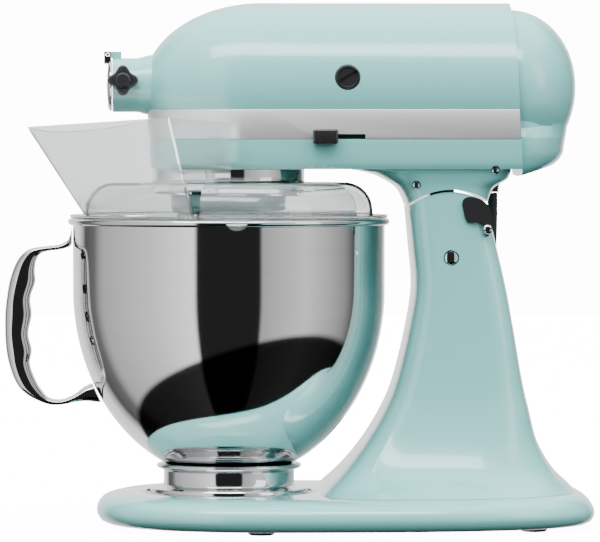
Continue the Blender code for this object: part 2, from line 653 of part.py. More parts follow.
def make_trim_band():
    proud = 0.3
    outer = [(SIDE_TOP + proud, NOSE_TOP + proud, BAND_TOP - GAP),
             (SIDE_BOTTOM + proud, CHIN_LENGTH + proud, BAND_BOTTOM + GAP)]
    inner = [(w - BAND_WALL, a - BAND_WALL, z) for w, a, z in outer]
    shell = bullet_shell(outer, inner, NOSE_CENTRE, HEAD_REAR - 0.4, HEAD_REAR_LEAN)
    steps = [("DIFFERENCE", rod(HUB_RADIUS + GAP, -100, -40, "X", (0, 0, HUB_AXIS_Z), 32)),
             ("DIFFERENCE", slot(LEVER_SLOT_X, -1)), ("DIFFERENCE", slot(SPEED_SLOT_X, 1))]
    piece("trim_band", combine(shell, *steps), "head", "satin_trim")


def make_rear_cover():
    """The domed cap behind the motor, with a straight skirt below the middle."""
    wall = 3.0
    start = HEAD_REAR + GAP
    outer = dome_profile(COVER_RADIUS, COVER_LENGTH, 90, -30, 7)
    skirt = [(51.5, 37.0, 262.0), (49.6, 36.9, 254.6), (46.0, 33.5, 248.6), (41.0, 29.0, 245.6), (0, 0, 245.0)]
    inner = dome_profile(COVER_RADIUS - wall, COVER_LENGTH - wall, 90, -30, 7)
    outer[-1] = (52.6, outer[-1][1], outer[-1][2])
    inner[-1] = (52.6 - wall, inner[-1][1], inner[-1][2])
    inside = [(max(w - wall, 0), max(a - wall, 0), z + (wall if z < 254 else 0)) for w, a, z in skirt]
    inside[1] = (46.2, 33.6, 256.5)
    inside[2] = (43.4, 31.0, 252.6)
    inside[3] = (39.0, 27.0, 249.4)
    inside[4] = (0, 0, 248.6)
    shell = bullet_shell(outer + skirt, inner + inside, start, start, 0, turn=1)
    for point in shell.verts:
        low = max(0.0, (262.0 - point.co.z) / 17.0)
        point.co.z += low * 0.28 * (point.co.x - 208.0)
        point.co.x += HEAD_REAR_LEAN * max(0.0, HEAD_AXIS_Z + HEAD_RADIUS - point.co.z) * (
            1 - min(1.0, max(0.0, point.co.x - start) / COVER_LENGTH))
    centre = (0, 0, HEAD_AXIS_Z)
    steps = [("DIFFERENCE", rod(4.0, start + COVER_LENGTH - 1.9, 260, "X", centre, 16))]
    piece("rear_cover", combine(shell, *steps), "head", "mint_paint")
    low = start + COVER_LENGTH - 1.9 + GAP
    piece("rear_cover_screw", rod(3.5, low, low + 1.6, "X", centre, 16, 0.5), "head", "chrome")


def hub_hinge():
    return (-HUB_FRONT - LID_HINGE_FRONT, 0, HUB_AXIS_Z + LID_HINGE_RISE)


# ---- attachment hub ----------------------------------------------------
def make_hub_parts():
    hinge = hub_hinge()
    front = HUB_FRONT + GAP
    disc = lathe([(0, front), (HUB_RADIUS - 1.0, front), (HUB_RADIUS - 0.6, front + 1), (HUB_RADIUS - 2.5, front + 2.6),
                  (8, front + 3.6), (0, front + 3.8)], 32)
    disc.transform(Matrix.Translation((0, 0, HUB_AXIS_Z)) @ Matrix.Rotation(math.radians(-90), 4, "Y"))
    steps = []
    for side in (-1, 1):
        low, high = sorted((side * 3.4, side * 6.4))
        ear = block((hinge[0] - 2.6, low, HUB_AXIS_Z + 14.5), (hinge[0] + 2.5, high, hinge[2] + LID_LUG), 0.4)
        steps.append(("UNION", ear))
    steps.append(("DIFFERENCE", rod(LID_PIN + GAP, -10, 10, "Y", hinge, 12)))
    piece("hub_cover", combine(disc, *steps), "hub_cover", "chrome")
    piece("hub_cover_pin", rod(LID_PIN, -6.6, 6.6, "Y", hinge, 12), "head", "gear_steel")

    screw_z = HUB_AXIS_Z + 3
    start = HUB_RADIUS + 1.6
    screw = lathe([(0, 13.9), (2, 13.9), (3, 15), (3, start + 9), (0, start + 9)], 16)
    turn = Matrix.Translation((KNOB_X, 0, screw_z)) @ Matrix.Rotation(math.radians(90), 4, "X")
    screw.transform(turn)
    piece("hub_screw", screw, "hub_screw", "gear_steel")
    outline = []
    for i in range(32):
        angle = 2 * math.pi * i / 32
        radius = 9.0 + 1.5 * math.cos(4 * angle)
        outline.append((radius * math.cos(angle), radius * math.sin(angle)))
    knob = prism(outline, start, start + 9.5, "Z")
    steps = [("UNION", rod(5.0, start + 9, start + 12, edge=0.8, steps=16)),
             ("DIFFERENCE", rod(3.3, start - 1, start + 9 + GAP, steps=16))]
    knob = combine(knob, *steps)
    knob.transform(turn)
    piece("hub_knob", knob, "hub_knob", "black_plastic")


# ---- levers ------------------------------------------------------------
def make_lever(name, rides, side, slot_x, width):
    """A grip outside the trim band, a stem through its slot and a guide behind the wall."""
    outside = HEAD_RADIUS - 1.2
    front = slot_x[0]

    def part(x0, x1, y0, y1, z0, z1, edge=0.0):
        low, high = sorted((side * y0, side * y1))
        return block((front + x0, low, LEVER_Z + z0), (front + x1, high, LEVER_Z + z1), edge)

    grip = part(0, width, outside, outside + 7.5, -5, 5, 1.0)
    stem = part(0.5, 5, 48.5, outside + 1, -1.3, 1.3)
    guide = part(-2, 9, 46.5, 49.0, -3.5, 3.5)
    piece(name, combine(grip, ("UNION", stem), ("UNION", guide)), rides, "black_plastic")


# ---- motor -------------------------------------------------------------
def worm_rings(start, length, steps=14):
    """Rings along X whose radius follows a thread of WORM_STARTS starts."""
    pitch = math.pi * WORM_MODULE
    first = wheel_place()[0] - pitch / 2
    rings = []
    count = int(length / (pitch / 6))
    for i in range(count + 1):
        x = start + i * pitch / 6
        ring = []
        for k in range(steps):
            angle = 2 * math.pi * k / steps
            along = (x - first) / pitch - WORM_STARTS * angle / (2 * math.pi)
            away = abs(along - round(along))
            height = min(1.0, max(0.0, (0.27 - away) / 0.15))
            radius = WORM_RADIUS - 1.75 + 2.8 * height
            ring.append(Vector((x, radius * math.cos(angle), MOTOR_Z + radius * math.sin(angle))))
        rings.append(ring)
    return rings


def shaft_ring(x, radius, steps=14):
    return [Vector((x, radius * math.cos(2 * math.pi * k / steps), MOTOR_Z + radius * math.sin(2 * math.pi * k / steps)))
            for k in range(steps)]


def make_motor():
    centre = (0, 0, MOTOR_Z)
    worm = worm_rings(21.2, 16.5)
    rings = [shaft_ring(13.5, 3.0), shaft_ring(14.0, 3.6), shaft_ring(20.6, 3.6)] + worm
    rings += [shaft_ring(worm[-1][0].x + 0.6, 3.6), shaft_ring(178.0, 3.6)]
    piece("armature_shaft", skin(rings), "armature", "gear_steel")
    piece("armature_core", tube(22.4, 3.9, 99, 139, "X", centre, 32), "armature", "gear_steel")
    piece("commutator", tube(13.5, 3.9, 72, 88, "X", centre, 24), "armature", "copper")
    fan = tube(9, 3.9, 148, 158, "X", centre, 20)
    steps = []
    for k in range(8):
        blade = block((149, -1, 8), (157, 1, 36))
        blade.transform(Matrix.Translation(centre) @ Matrix.Rotation(2 * math.pi * k / 8, 4, "X"))
        steps.append(("UNION", blade))
    piece("cooling_fan", combine(fan, *steps), "armature", "black_plastic")

    field = tube(40, 23.4, 97, 141, "X", centre, 32)
    piece("motor_field", field, "head", "gear_steel")
    end = rod(50, 170, 174, "X", (0, 0, HEAD_AXIS_Z), 32)
    steps = [("DIFFERENCE", rod(3.9, 160, 180, "X", centre, 20))]
    for k in range(4):
        angle = math.pi / 4 + k * math.pi / 2
        window = rod(10, 160, 180, "X", (0, 30 * math.cos(angle), HEAD_AXIS_Z + 30 * math.sin(angle)), 8)
        steps.append(("DIFFERENCE", window))
    piece("motor_end_bracket", combine(end, *steps), "head", "cast_aluminium")

    for name, side in (("left", -1), ("right", 1)):
        def placed(y0, y1, half_x, half_z):
            low, high = sorted((side * y0, side * y1))
            return block((BRUSH_X - half_x, low, MOTOR_Z - half_z), (BRUSH_X + half_x, high, MOTOR_Z + half_z))
        piece(f"carbon_brush_{name}", placed(14.0, 33, 3.5, 3.5), "head", "carbon")
        low, high = sorted((side * 49.6, side * (HEAD_RADIUS + 0.6)))
        cap = rod(8.35, low, high, "Y", (BRUSH_X, 0, MOTOR_Z), 24, 0.6)
        cut = block((-12, -1, -1.1), (12, 1, 1.1))
        cut.transform(Matrix.Translation((BRUSH_X, side * (HEAD_RADIUS + 0.6), MOTOR_Z))
                      @ Matrix.Rotation(math.radians(30), 4, "Y"))
        piece(f"brush_cap_{name}", combine(cap, ("DIFFERENCE", cut)), "head", "black_plastic")


# ---- gear train --------------------------------------------------------
AGITATOR_ANGLE = 180.0  # where the agitator's shaft stands at rest
AGITATOR_OFFSET = (RING_TEETH - PINION_TEETH) * RING_MODULE / 2


def wheel_place():
    """The vertical shaft of the worm wheel, beside the worm and in mesh with the centre gear."""
    across = WORM_RADIUS + WHEEL_TEETH * WORM_MODULE / 2
    distance = (CENTRE_TEETH + STEP_TEETH) * SPUR_MODULE / 2
    return math.sqrt(distance ** 2 - across ** 2), -across


def agitator_place():
    angle = math.radians(AGITATOR_ANGLE)
    return AGITATOR_OFFSET * math.cos(angle), AGITATOR_OFFSET * math.sin(angle)


def make_gears():
    wheel_x, wheel_y = wheel_place()
    toward = math.degrees(math.atan2(wheel_y, wheel_x))
    centre = gear_outline(CENTRE_TEETH, SPUR_MODULE, phase=toward)
    piece("centre_gear", cylinder_gear(centre, 262, 271, 6.3), "planetary", "gear_steel")
    pinion = gear_outline(STEP_TEETH, SPUR_MODULE, phase=toward + 180 + 180 / STEP_TEETH)
    shaft = rod(4.0, 255, 316, centre=(wheel_x, wheel_y, 0), edge=0.6)
    pinion = cylinder_gear(pinion, 261.5, 271.5, 3.8, centre=(wheel_x, wheel_y))
    piece("step_pinion", combine(shaft, ("UNION", pinion)), "step_gear", "gear_steel")
    lead = WORM_MODULE * WORM_STARTS * math.pi
    face = 6.0
    twist = math.degrees(lead / (2 * math.pi * WORM_RADIUS) * face / (WHEEL_TEETH * WORM_MODULE / 2))
    wheel = gear_outline(WHEEL_TEETH, WORM_MODULE, thick=0.32, phase=90)
    piece("worm_wheel", cylinder_gear(wheel, MOTOR_Z - face / 2, MOTOR_Z + face / 2, 4.3, twist,
                                      (wheel_x, wheel_y)), "step_gear", "copper")

    apex = Matrix.Translation((0, 0, HUB_AXIS_Z))
    down = Matrix.Rotation(math.pi, 4, "X")
    piece("centre_bevel_gear", bevel_gear(0, 6.3, apex @ down), "planetary", "gear_steel")
    forward = Matrix(((0, 0, -1, 0), (0, -1, 0, 0), (-1, 0, 0, 0), (0, 0, 0, 1)))
    half_tooth = 180 / BEVEL_TEETH
    socket = rod(9.0, -44, -23, "X", (0, 0, HUB_AXIS_Z), 16)
    square = block((-50, -4.9, HUB_AXIS_Z - 4.9), (-26, 4.9, HUB_AXIS_Z + 4.9))
    stub = rod(6.0, -24, -8.5, "X", (0, 0, HUB_AXIS_Z), 12)
    gear = bevel_gear(half_tooth, 5.8, apex @ forward)
    steps = [("UNION", stub), ("UNION", gear), ("DIFFERENCE", square)]
    piece("hub_drive_gear", combine(socket, *steps), "hub_drive", "gear_steel")

    ring = gear_outline(RING_TEETH, RING_MODULE, phase=AGITATOR_ANGLE + 180 / RING_TEETH, internal=True)
    piece("ring_gear", cylinder_gear(ring, 232, 240, 49.8), "head", "gear_steel")
    plate = prism([(-36, -20), (-20, -34), (53, -42), (53, 42), (-20, 34), (-36, 20)], 250.2, 254, "Z")
    steps = [("UNION", block((-36, -15, 253), (-31, 15, 322))), ("UNION", block((48, -20, 253), (53, 20, 322))),
             ("DIFFERENCE", rod(6.4, 240, 260, steps=20)),
             ("DIFFERENCE", rod(9.4, -50, -20, "X", (0, 0, HUB_AXIS_Z), 24)),
             ("DIFFERENCE", rod(3.9, 40, 60, "X", (0, 0, MOTOR_Z), 20))]
    piece("gear_frame", combine(plate, *steps), "head", "cast_aluminium")


# ---- mixing head -------------------------------------------------------
RING_OUTER = 52.0
RING_BOTTOM = 229.0
PLANETARY_RADIUS = 39.6
PLANETARY_BOTTOM = 215.6


def make_mixing_head():
    ring = lathe([(RING_OUTER - 2, RING_BOTTOM), (RING_OUTER, RING_BOTTOM + 2.2), (RING_OUTER, HEAD_FLOOR - GAP),
                  (RING_OUTER - 1.8, HEAD_FLOOR - GAP), (RING_OUTER - 1.8, RING_BOTTOM + 2),
                  (PLANETARY_RADIUS + 1.2, RING_BOTTOM + 1.4), (PLANETARY_RADIUS + 1.2, RING_BOTTOM)], 28)
    piece("drip_ring", ring, "head", "polished_steel")
    x, y = agitator_place()
    low, high = PLANETARY_BOTTOM, RING_BOTTOM - 0.4
    carrier = lathe([(0, low), (PLANETARY_RADIUS - 5.5, low), (PLANETARY_RADIUS, low + 5.5), (PLANETARY_RADIUS, high),
                     (PLANETARY_RADIUS - 1, high + 1), (14, high + 1), (12, high + 3), (0, high + 3)], 28)
    steps = [("DIFFERENCE", rod(6.3, 220, 250, steps=20)),
             ("DIFFERENCE", rod(5.6, 200, 240, centre=(x, y, 0), steps=20))]
    piece("planetary", combine(carrier, *steps), "planetary", "mint_paint")
    piece("centre_shaft", rod(6.0, 220 + GAP, HUB_AXIS_Z - 9, edge=0.5, steps=20), "planetary", "gear_steel")
    pinion = gear_outline(PINION_TEETH, RING_MODULE, phase=AGITATOR_ANGLE)
    piece("agitator_pinion", cylinder_gear(pinion, 232.5, 239.5, 5.6, centre=(x, y)), "agitator", "gear_steel")
    shaft = lathe([(0, 186), (4, 186), (5.3, 187.5), (5.3, 208), (8.5, 208), (8.5, PLANETARY_BOTTOM - GAP),
                   (5.3, PLANETARY_BOTTOM - GAP), (5.3, 241), (0, 241)], 20, centre=(x, y, 0))
    pin_hole = rod(1.9, -20, 20, "Y", (x, y, 196), 12)
    piece("agitator_shaft", combine(shaft, ("DIFFERENCE", pin_hole)), "agitator", "polished_steel")
    piece("agitator_pin", rod(1.6, -9.5, 9.5, "Y", (x, y, 196), 12, 0.3), "agitator", "polished_steel")


# ---- bowl --------------------------------------------------------------
def bowl_radius(height):
    """The outer radius of the bowl's side at a height."""
    down = max(0.0, BOWL_STRAIGHT_Z - height) / BOWL_CURVE_HEIGHT
    return BOWL_RADIUS * math.sqrt(max(0.0, 1 - down ** 2))


def bowl_outline(steps=8):
    flat = BOWL_STRAIGHT_Z - BOWL_CURVE_HEIGHT * math.sqrt(1 - (BOWL_FLAT_RADIUS / BOWL_RADIUS) ** 2)
    outside = []
    for i in range(steps + 1):
        share = (i / steps) ** 0.8
        height = flat + (BOWL_STRAIGHT_Z - flat) * share
        outside.append((bowl_radius(height), height))
    inside = [(radius - BOWL_WALL, height + BOWL_WALL * (1 - i / steps))
              for i, (radius, height) in enumerate(outside)]
    bead_z = BOWL_RIM_Z - BOWL_BEAD + 1.0
    outline = [(0, flat)] + outside + [(BOWL_RADIUS, bead_z - 2.2)]
    outline += arc((BOWL_RADIUS + 1.0, bead_z), 2.4, -60, 90, 3)
    outline += [(BOWL_RADIUS - BOWL_WALL, BOWL_RIM_Z)] + inside[::-1] + [(0, flat + BOWL_WALL)]
    return outline, flat


def make_bowl():
    outline, flat = bowl_outline()
    piece("bowl_shell", lathe(outline, 32), "bowl", "polished_steel")
    seat = PLATE_SEAT + PLATE_WALL + 2 * GAP
    top = flat - GAP
    ring = lathe([(FOOT_RING_RADIUS, seat), (FOOT_RING_RADIUS, seat + 4), (46.5, seat + 5.5), (45.0, seat + 8),
                  (45.0, top - 4.6), (49.0, top - 3.2), (50.0, top - 1), (48.0, top), (36.0, top), (36.0, top - 1.6),
                  (43.4, top - 1.8), (43.4, seat + 5), (51.5, seat + 2), (51.5, seat)], 24)
    piece("bowl_foot", ring, "bowl", "polished_steel")

    inner = -BOWL_RADIUS - 0.5
    grip = [(-127.4, 91.6), (-132.7, 99.4), (-137.1, 111.8), (-135.8, 121.4), (-138.2, 132.5), (-135.8, 145.6),
            (-136.8, 157.0), (-133.1, 168.4), (-133.6, 176.0), (-132.0, 184.5), (-127.4, 189.6), (-111.5, 192.4),
            (inner, 194.0)]
    outside = [(inner, 206), (inner - 2.2, 206), (inner - 2.8, 195.6), (-132, 192.4), (-138.5, 191.2),
               (-143.5, 186.6), (-148.5, 177.3), (-152.3, 163.5), (-154.3, 145.6), (-HANDLE_REACH, 132.5),
               (-152.9, 117.3), (-148.6, 101.4), (-142.3, 93.0), (-133, 87.0), (-124.0, 83.4), (-115.2, 83.2),
               (-105.4, 88.0), (-bowl_radius(88) - 3.4, 86.0), (-bowl_radius(85) - 0.5, 85.0)]
    upper_seat = [(-bowl_radius(97) - 0.5, 97.0), (-bowl_radius(98) - 2.8, 98.0), (-105.8, 91.2), (-115.6, 86.4),
                  (-123.0, 86.6)]
    handle = prism(outside + upper_seat + grip, -HANDLE_HALF_WIDTH, HANDLE_HALF_WIDTH)
    piece("bowl_handle", handle, "bowl", "polished_steel")


# ---- pouring shield ----------------------------------------------------
CHUTE_CUT = (190.0, 257.5)  # where the chute stands in the shield, degrees about the axis
SIDE_CUT = (330.0, 358.0)  # the open gap beside the column
CHUTE_WALL = 1.8


def wedge(first, last, inner, outer, low, high):
    outline = arc((0, 0), outer, first, last, 10) + arc((0, 0), inner, last, first, 10)
    return prism(outline, low, high, "Z")


def make_shield_collar():
    seat = BOWL_RIM_Z + 0.4
    flange = seat + 2.0
    corner = SHIELD_TOP - SHIELD_SHOULDER
    centre = (SHIELD_RADIUS - SHIELD_SHOULDER, corner)
    outside = arc(centre, SHIELD_SHOULDER, 0, 90, 3)
    inside = arc(centre, SHIELD_SHOULDER - SHIELD_WALL, 90, 0, 3)
    outline = [(SHIELD_RADIUS - SHIELD_WALL, seat), (SHIELD_FLANGE, seat), (SHIELD_FLANGE, flange),
               (SHIELD_RADIUS, flange)] + outside
    outline += [(SHIELD_OPENING, SHIELD_TOP), (SHIELD_OPENING, SHIELD_TOP - SHIELD_WALL)] + inside
    tab_x, tab_y = 3.2, -113.4
    tab = prism(arc((tab_x, seat + 0.5), 8.0, 180, 360, 10), tab_y, -111.8)
    bridge = block((tab_x - 8, tab_y, seat), (tab_x + 8, -104, flange))
    cuts = [("DIFFERENCE", wedge(*CHUTE_CUT, 66, 120, flange, 250)),
            ("DIFFERENCE", wedge(*SIDE_CUT, 40, 120, flange, 250)), ("UNION", bridge), ("UNION", tab)]
    piece("shield_collar", combine(lathe(outline, 30), *cuts), "shield", "clear_plastic")


def shifted(outline, distance):
    """The outline moved in by a distance, square to each side."""
    found = []
    count = len(outline)
    for i, point in enumerate(outline):
        before = (point - outline[i - 1]).normalized()
        after = (outline[(i + 1) % count] - point).normalized()
        turn = (Vector((-before.y, before.x)) + Vector((-after.y, after.x))).normalized()
        share = max(0.5, turn.dot(Vector((-before.y, before.x))))
        found.append(point + turn * distance / share)
    return found


def chute_outline(share):
    """The chute's plan, counter-clockwise, from its bottom (0) to its mouth (1)."""
    bottom = [Vector((-99, -18)), Vector((-99.5, -36))]
    bottom += [Vector((104 * math.cos(math.radians(a)), 104 * math.sin(math.radians(a))))
               for a in (207, 217, 227, 237, 247)]
    bottom += [Vector((-25.6, -101)), Vector((-24, -69))]
    top = [Vector((-137, -34)), Vector((-137, -76)), Vector((-122, -87)), Vector((-106, -95)), Vector((-90, -101)),
           Vector((-73, -106)), Vector((-58, -109)), Vector((-42, -110)), Vector((-42, -70))]
    return [b.lerp(t, share) for b, t in zip(bottom, top)]


def make_shield_chute():
    low = BOWL_RIM_Z + 0.4 + 2.0 + 0.4
    mouth = [275, 274, 271.5, 271.5, 273, 275.5, 278.5, 281, 281]
    rings = []
    for inset, shares in ((0.0, (0.0, 0.5, 1.0)), (CHUTE_WALL, (1.0, 0.5, 0.0))):
        for share in shares:
            outline = shifted(chute_outline(share), inset) if inset else chute_outline(share)
            rings.append([Vector((p.x, p.y, low + (height - low) * share)) for p, height in zip(outline, mouth)])
    hopper = skin(rings + rings[:1], capped=False)
    wing = prism([(-42, 280.6), (0, 277.6), (0, SHIELD_TOP + 0.4), (-30.5, SHIELD_TOP + 0.4)], -71.0, -69.2)
    piece("shield_chute", combine(hopper, ("UNION", wing)), "shield", "clear_plastic")


# ---- cord --------------------------------------------------------------
# The way the cord hangs, chosen by hand: behind the column and down to the table.
CORD_ROUTE = (
    (184.8, 36.0, 229.2), (184.8, 36.0, 219.0), (184.8, 36.8, 208.0), (184.5, 39.0, 195.0), (184.0, 43.5, 180.0),
    (183.6, 49.5, 163.0), (184.0, 55.5, 143.0), (185.5, 61.5, 122.0), (188.0, 67.5, 101.0), (191.5, 74.0, 81.0),
    (196.0, 82.5, 62.0), (201.0, 93.5, 44.0), (206.0, 106.0, 28.0), (210.5, 119.5, 14.5), (213.0, 131.0, 6.6),
    (214.0, 139.5, 4.0),
)


def smooth_route(points, spacing):
    """A Catmull-Rom curve through the route's points, read at even steps."""
    ends = [points[0] * 2 - points[1]] + points + [points[-1] * 2 - points[-2]]
    fine = []
    for i in range(1, len(ends) - 2):
        a, b, c, d = ends[i - 1:i + 3]
        for k in range(12):
            t = k / 12
            fine.append(0.5 * (2 * b + (c - a) * t + (2 * a - 5 * b + 4 * c - d) * t * t
                               + (3 * b - a - 3 * c + d) * t ** 3))
    fine.append(points[-1])
    length = sum((q - p).length for p, q in zip(fine, fine[1:]))
    count = max(2, round(length / spacing))
    found = [fine[0]]
    walked, target = 0.0, length / count
    for p, q in zip(fine, fine[1:]):
        part = (q - p).length
        while walked + part >= target - 1e-6 and len(found) < count:
            found.append(p.lerp(q, (target - walked) / part))
            target += length / count
        walked += part
    found.append(fine[-1])
    return found


def make_cord():
    exit_x, exit_y, exit_z = CORD_EXIT
    outline = [(CORD_RADIUS + 0.3, exit_z), (CORD_RADIUS + 1.2, exit_z), (5.4, exit_z + 8), (6.6, exit_z + 12),
               (6.9, exit_z + 24), (CORD_RADIUS + 0.3, exit_z + 24)]
    piece("strain_relief", lathe(outline, 20, centre=(exit_x, exit_y, 0)), "head", "black_rubber")

    route = smooth_route([Vector(point) for point in CORD_ROUTE], 2.6 * 2 * CORD_RADIUS)
    curve = bpy.data.curves.new("cord_run", "CURVE")
    curve.dimensions = "3D"
    spline = curve.splines.new("POLY")
    spline.points.add(len(route) - 1)
    for point, place in zip(spline.points, route):
        point.co = (*((place - bodies["stand"]["place"]) * MM), 1)
    curve.bevel_depth = CORD_RADIUS * MM
    curve.bevel_resolution = 3
    curve.use_fill_caps = True
    curve.materials.append(material("black_rubber"))
    made = bpy.data.objects.new("cord_run", curve)
    bpy.context.collection.objects.link(made)
    made.parent = bodies["stand"]["empty"]

    x, y = COIL_CENTRE
    half = 2 * CORD_RADIUS
    coil = lathe([(COIL_RADIUS - half, 1.5), (COIL_RADIUS - half + 1.5, GAP), (COIL_RADIUS + half - 1.5, GAP),
                  (COIL_RADIUS + half, 1.5), (COIL_RADIUS + half, 12.6), (COIL_RADIUS + half - 1.5, 14),
                  (COIL_RADIUS - half + 1.5, 14), (COIL_RADIUS - half, 12.6)], 24, centre=(x, y, 0))
    piece("cord_coil", coil, "stand", "black_rubber")

    tail = (x - 23.5, y + COIL_RADIUS + CORD_RADIUS, 17.4)
    shell = lathe([(0, 0), (4.8, 0), (7.5, 14), (12, 20), (16.4, 22), (17.0, 24), (17.0, 44), (16.0, 46), (0, 46)], 18)
    steps = []
    for side in (-1, 1):
        steps.append(("UNION", rod(2.4, 45, 62, centre=(0, side * 9.5, 0), steps=12, edge=0.8)))
    plug = combine(shell, *steps)
    plug.transform(Matrix.Translation(tail) @ Matrix.Rotation(math.radians(-90), 4, "Y"))
    piece("plug", plug, "stand", "black_rubber")


def main():
    for old in list(bpy.data.objects):
        bpy.data.objects.remove(old)
    x, y = agitator_place()
    wheel_x, wheel_y = wheel_place()
    body("stand", (0, 0, 0))
    body("head", (PIVOT_X, 0, PIVOT_Z), "stand")
    body("bowl", (0, 0, 0), "stand")
    body("shield", (0, 0, BOWL_RIM_Z), "bowl")
    body("planetary", (0, 0, RING_BOTTOM), "head")
    body("agitator", (x, y, RING_BOTTOM), "planetary")
    body("step_gear", (wheel_x, wheel_y, 266), "head")
    body("armature", (100, 0, MOTOR_Z), "head")
    body("hub_drive", (-30, 0, HUB_AXIS_Z), "head")
    body("hub_cover", hub_hinge(), "head")
    body("hub_screw", (KNOB_X, 0, HUB_AXIS_Z + 3), "head")
    body("hub_knob", (KNOB_X, -HUB_RADIUS, HUB_AXIS_Z + 3), "hub_screw")
    body("lock_lever", (LEVER_SLOT_X[0], -HEAD_RADIUS, LEVER_Z), "head")
    body("speed_lever", (SPEED_SLOT_X[0], HEAD_RADIUS, LEVER_Z), "head")
    make_stand()
    make_upper_housing()
    make_lower_housing()
    make_trim_band()
    make_rear_cover()
    make_hub_parts()
    make_lever("lock_lever", "lock_lever", -1, LEVER_SLOT_X, LEVER_WIDTH)
    make_lever("speed_lever", "speed_lever", 1, SPEED_SLOT_X, SPEED_WIDTH)
    make_motor()
    make_gears()
    make_mixing_head()
    make_bowl()
    make_shield_collar()
    make_shield_chute()
    make_cord()


main()
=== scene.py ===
# %% [markdown]
# # A tilt-head stand mixer with its bowl and pouring shield
# The mixer is a painted casting on a rounded foot. Its head tips back on a pin, a planetary
# drive turns the beater, and a clear shield with a chute rests on the steel bowl.
# A packed mechanical model gives every place and size; this file gives it its looks.

# %% Load the frame
import math

import bmesh
import bpy
from mathutils import Matrix, Vector


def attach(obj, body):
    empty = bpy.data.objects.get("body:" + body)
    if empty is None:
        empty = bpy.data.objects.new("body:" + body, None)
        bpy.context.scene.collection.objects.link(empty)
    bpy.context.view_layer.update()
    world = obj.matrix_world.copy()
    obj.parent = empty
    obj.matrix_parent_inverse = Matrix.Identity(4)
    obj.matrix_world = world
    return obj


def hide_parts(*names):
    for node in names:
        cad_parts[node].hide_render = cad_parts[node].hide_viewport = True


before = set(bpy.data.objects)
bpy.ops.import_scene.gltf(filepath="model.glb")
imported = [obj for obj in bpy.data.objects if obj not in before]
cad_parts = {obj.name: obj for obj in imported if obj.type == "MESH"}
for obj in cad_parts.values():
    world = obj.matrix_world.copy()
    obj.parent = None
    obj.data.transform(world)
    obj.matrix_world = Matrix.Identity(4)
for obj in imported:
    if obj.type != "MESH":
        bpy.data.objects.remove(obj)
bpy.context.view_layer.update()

# %% [markdown]
# ## Camera
# The mixer is shown almost square from its left side, from a little above the worktop.
# A long lens far away keeps the bowl's rim nearly flat, as a catalogue picture does.

# %% Camera
AIM = Vector((0.0005, 0.0, 0.1755))
DISTANCE = 3.3
CAMERA_AZIMUTH = math.radians(-2)
CAMERA_HEIGHT = 0.265


def linked(name, data):
    made = bpy.data.objects.new(name, data)
    bpy.context.collection.objects.link(made)
    return made


def make_camera():
    data = bpy.data.cameras.new("camera")
    data.lens = 287
    data.sensor_width = 36
    data.clip_end = 50
    made = linked("camera", data)
    flat = Vector((math.sin(CAMERA_AZIMUTH), -math.cos(CAMERA_AZIMUTH), 0))
    made.location = Vector((AIM.x, AIM.y, CAMERA_HEIGHT)) + flat * DISTANCE
    made.rotation_euler = (AIM - made.location).to_track_quat("-Z", "Y").to_euler()
    bpy.context.scene.camera = made
    return made


print("camera at", tuple(round(v, 3) for v in make_camera().location))

# %% [markdown]
# ## Helpers for the mesh work
# Lengths are written in millimetres from the bowl's axis, as on a drawing, with the front at -X.
# One function turns a finished bmesh into metres at its place and hands it to a body.

# %% Helpers: finishing a piece
MM = 0.001
BOWL_X = -0.04855  # where the bowl's axis stands in the frame, in metres
WELD = 0.001  # points closer than this become one
pieces_made = []


def smooth_by_angle(data, angle):
    data.shade_smooth()
    data.set_sharp_from_angle(angle=math.radians(angle))


def object_from(name, mesh):
    """Turns a bmesh into an object of the scene, and frees the bmesh."""
    data = bpy.data.meshes.new(name)
    mesh.to_mesh(data)
    mesh.free()
    return linked(name, data)


def clean(mesh):
    bmesh.ops.remove_doubles(mesh, verts=mesh.verts, dist=WELD)
    bmesh.ops.recalc_face_normals(mesh, faces=mesh.faces)


def finish_piece(name, mesh, body, material, nodes, angle=32, bevel=0.0):
    """Makes an object at the origin from a bmesh in millimetres and ties it to its body."""
    clean(mesh)
    mesh.transform(Matrix.Translation((BOWL_X, 0, 0)) @ Matrix.Scale(MM, 4))
    made = object_from(name, mesh)
    made.data.materials.append(material)
    smooth_by_angle(made.data, angle)
    if bevel:
        edge = made.modifiers.new("softened_edges", "BEVEL")
        edge.width = bevel * MM
        edge.segments = 3
        edge.limit_method = "ANGLE"
        edge.angle_limit = math.radians(angle)
        edge.harden_normals = True
    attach(made, body)
    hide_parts(*nodes)
    pieces_made.append(name)
    return made


# %% [markdown]
# ## Helpers for shapes
# A turned part is an outline spun round an axis. A casting is a loft: a ring is extruded from
# section to section, and each new point moves to its own place on the next section.

# %% Helpers: turned, boxed and extruded shapes
def turn_to(axis, centre):
    turns = {
        "Z": Matrix.Identity(4),
        "X": Matrix.Rotation(math.radians(90), 4, "Y"),
        "Y": Matrix.Rotation(math.radians(-90), 4, "X"),
    }
    return Matrix.Translation(Vector(centre)) @ turns[axis]


def lathe(outline, steps=96, axis="Z", centre=(0, 0, 0)):
    """Spins a closed outline of (radius, height) points round an axis."""
    mesh = bmesh.new()
    points = [mesh.verts.new((radius, 0, height)) for radius, height in outline]
    edges = []
    for index, point in enumerate(points):
        after = (index + 1) % len(points)
        if outline[index][0] or outline[after][0]:
            edges.append(mesh.edges.new((point, points[after])))
    bmesh.ops.spin(mesh, geom=points + edges, angle=2 * math.pi, steps=steps, axis=(0, 0, 1),
                   cent=(0, 0, 0), use_merge=True)
    bmesh.ops.remove_doubles(mesh, verts=mesh.verts, dist=WELD)
    mesh.transform(turn_to(axis, centre))
    return mesh


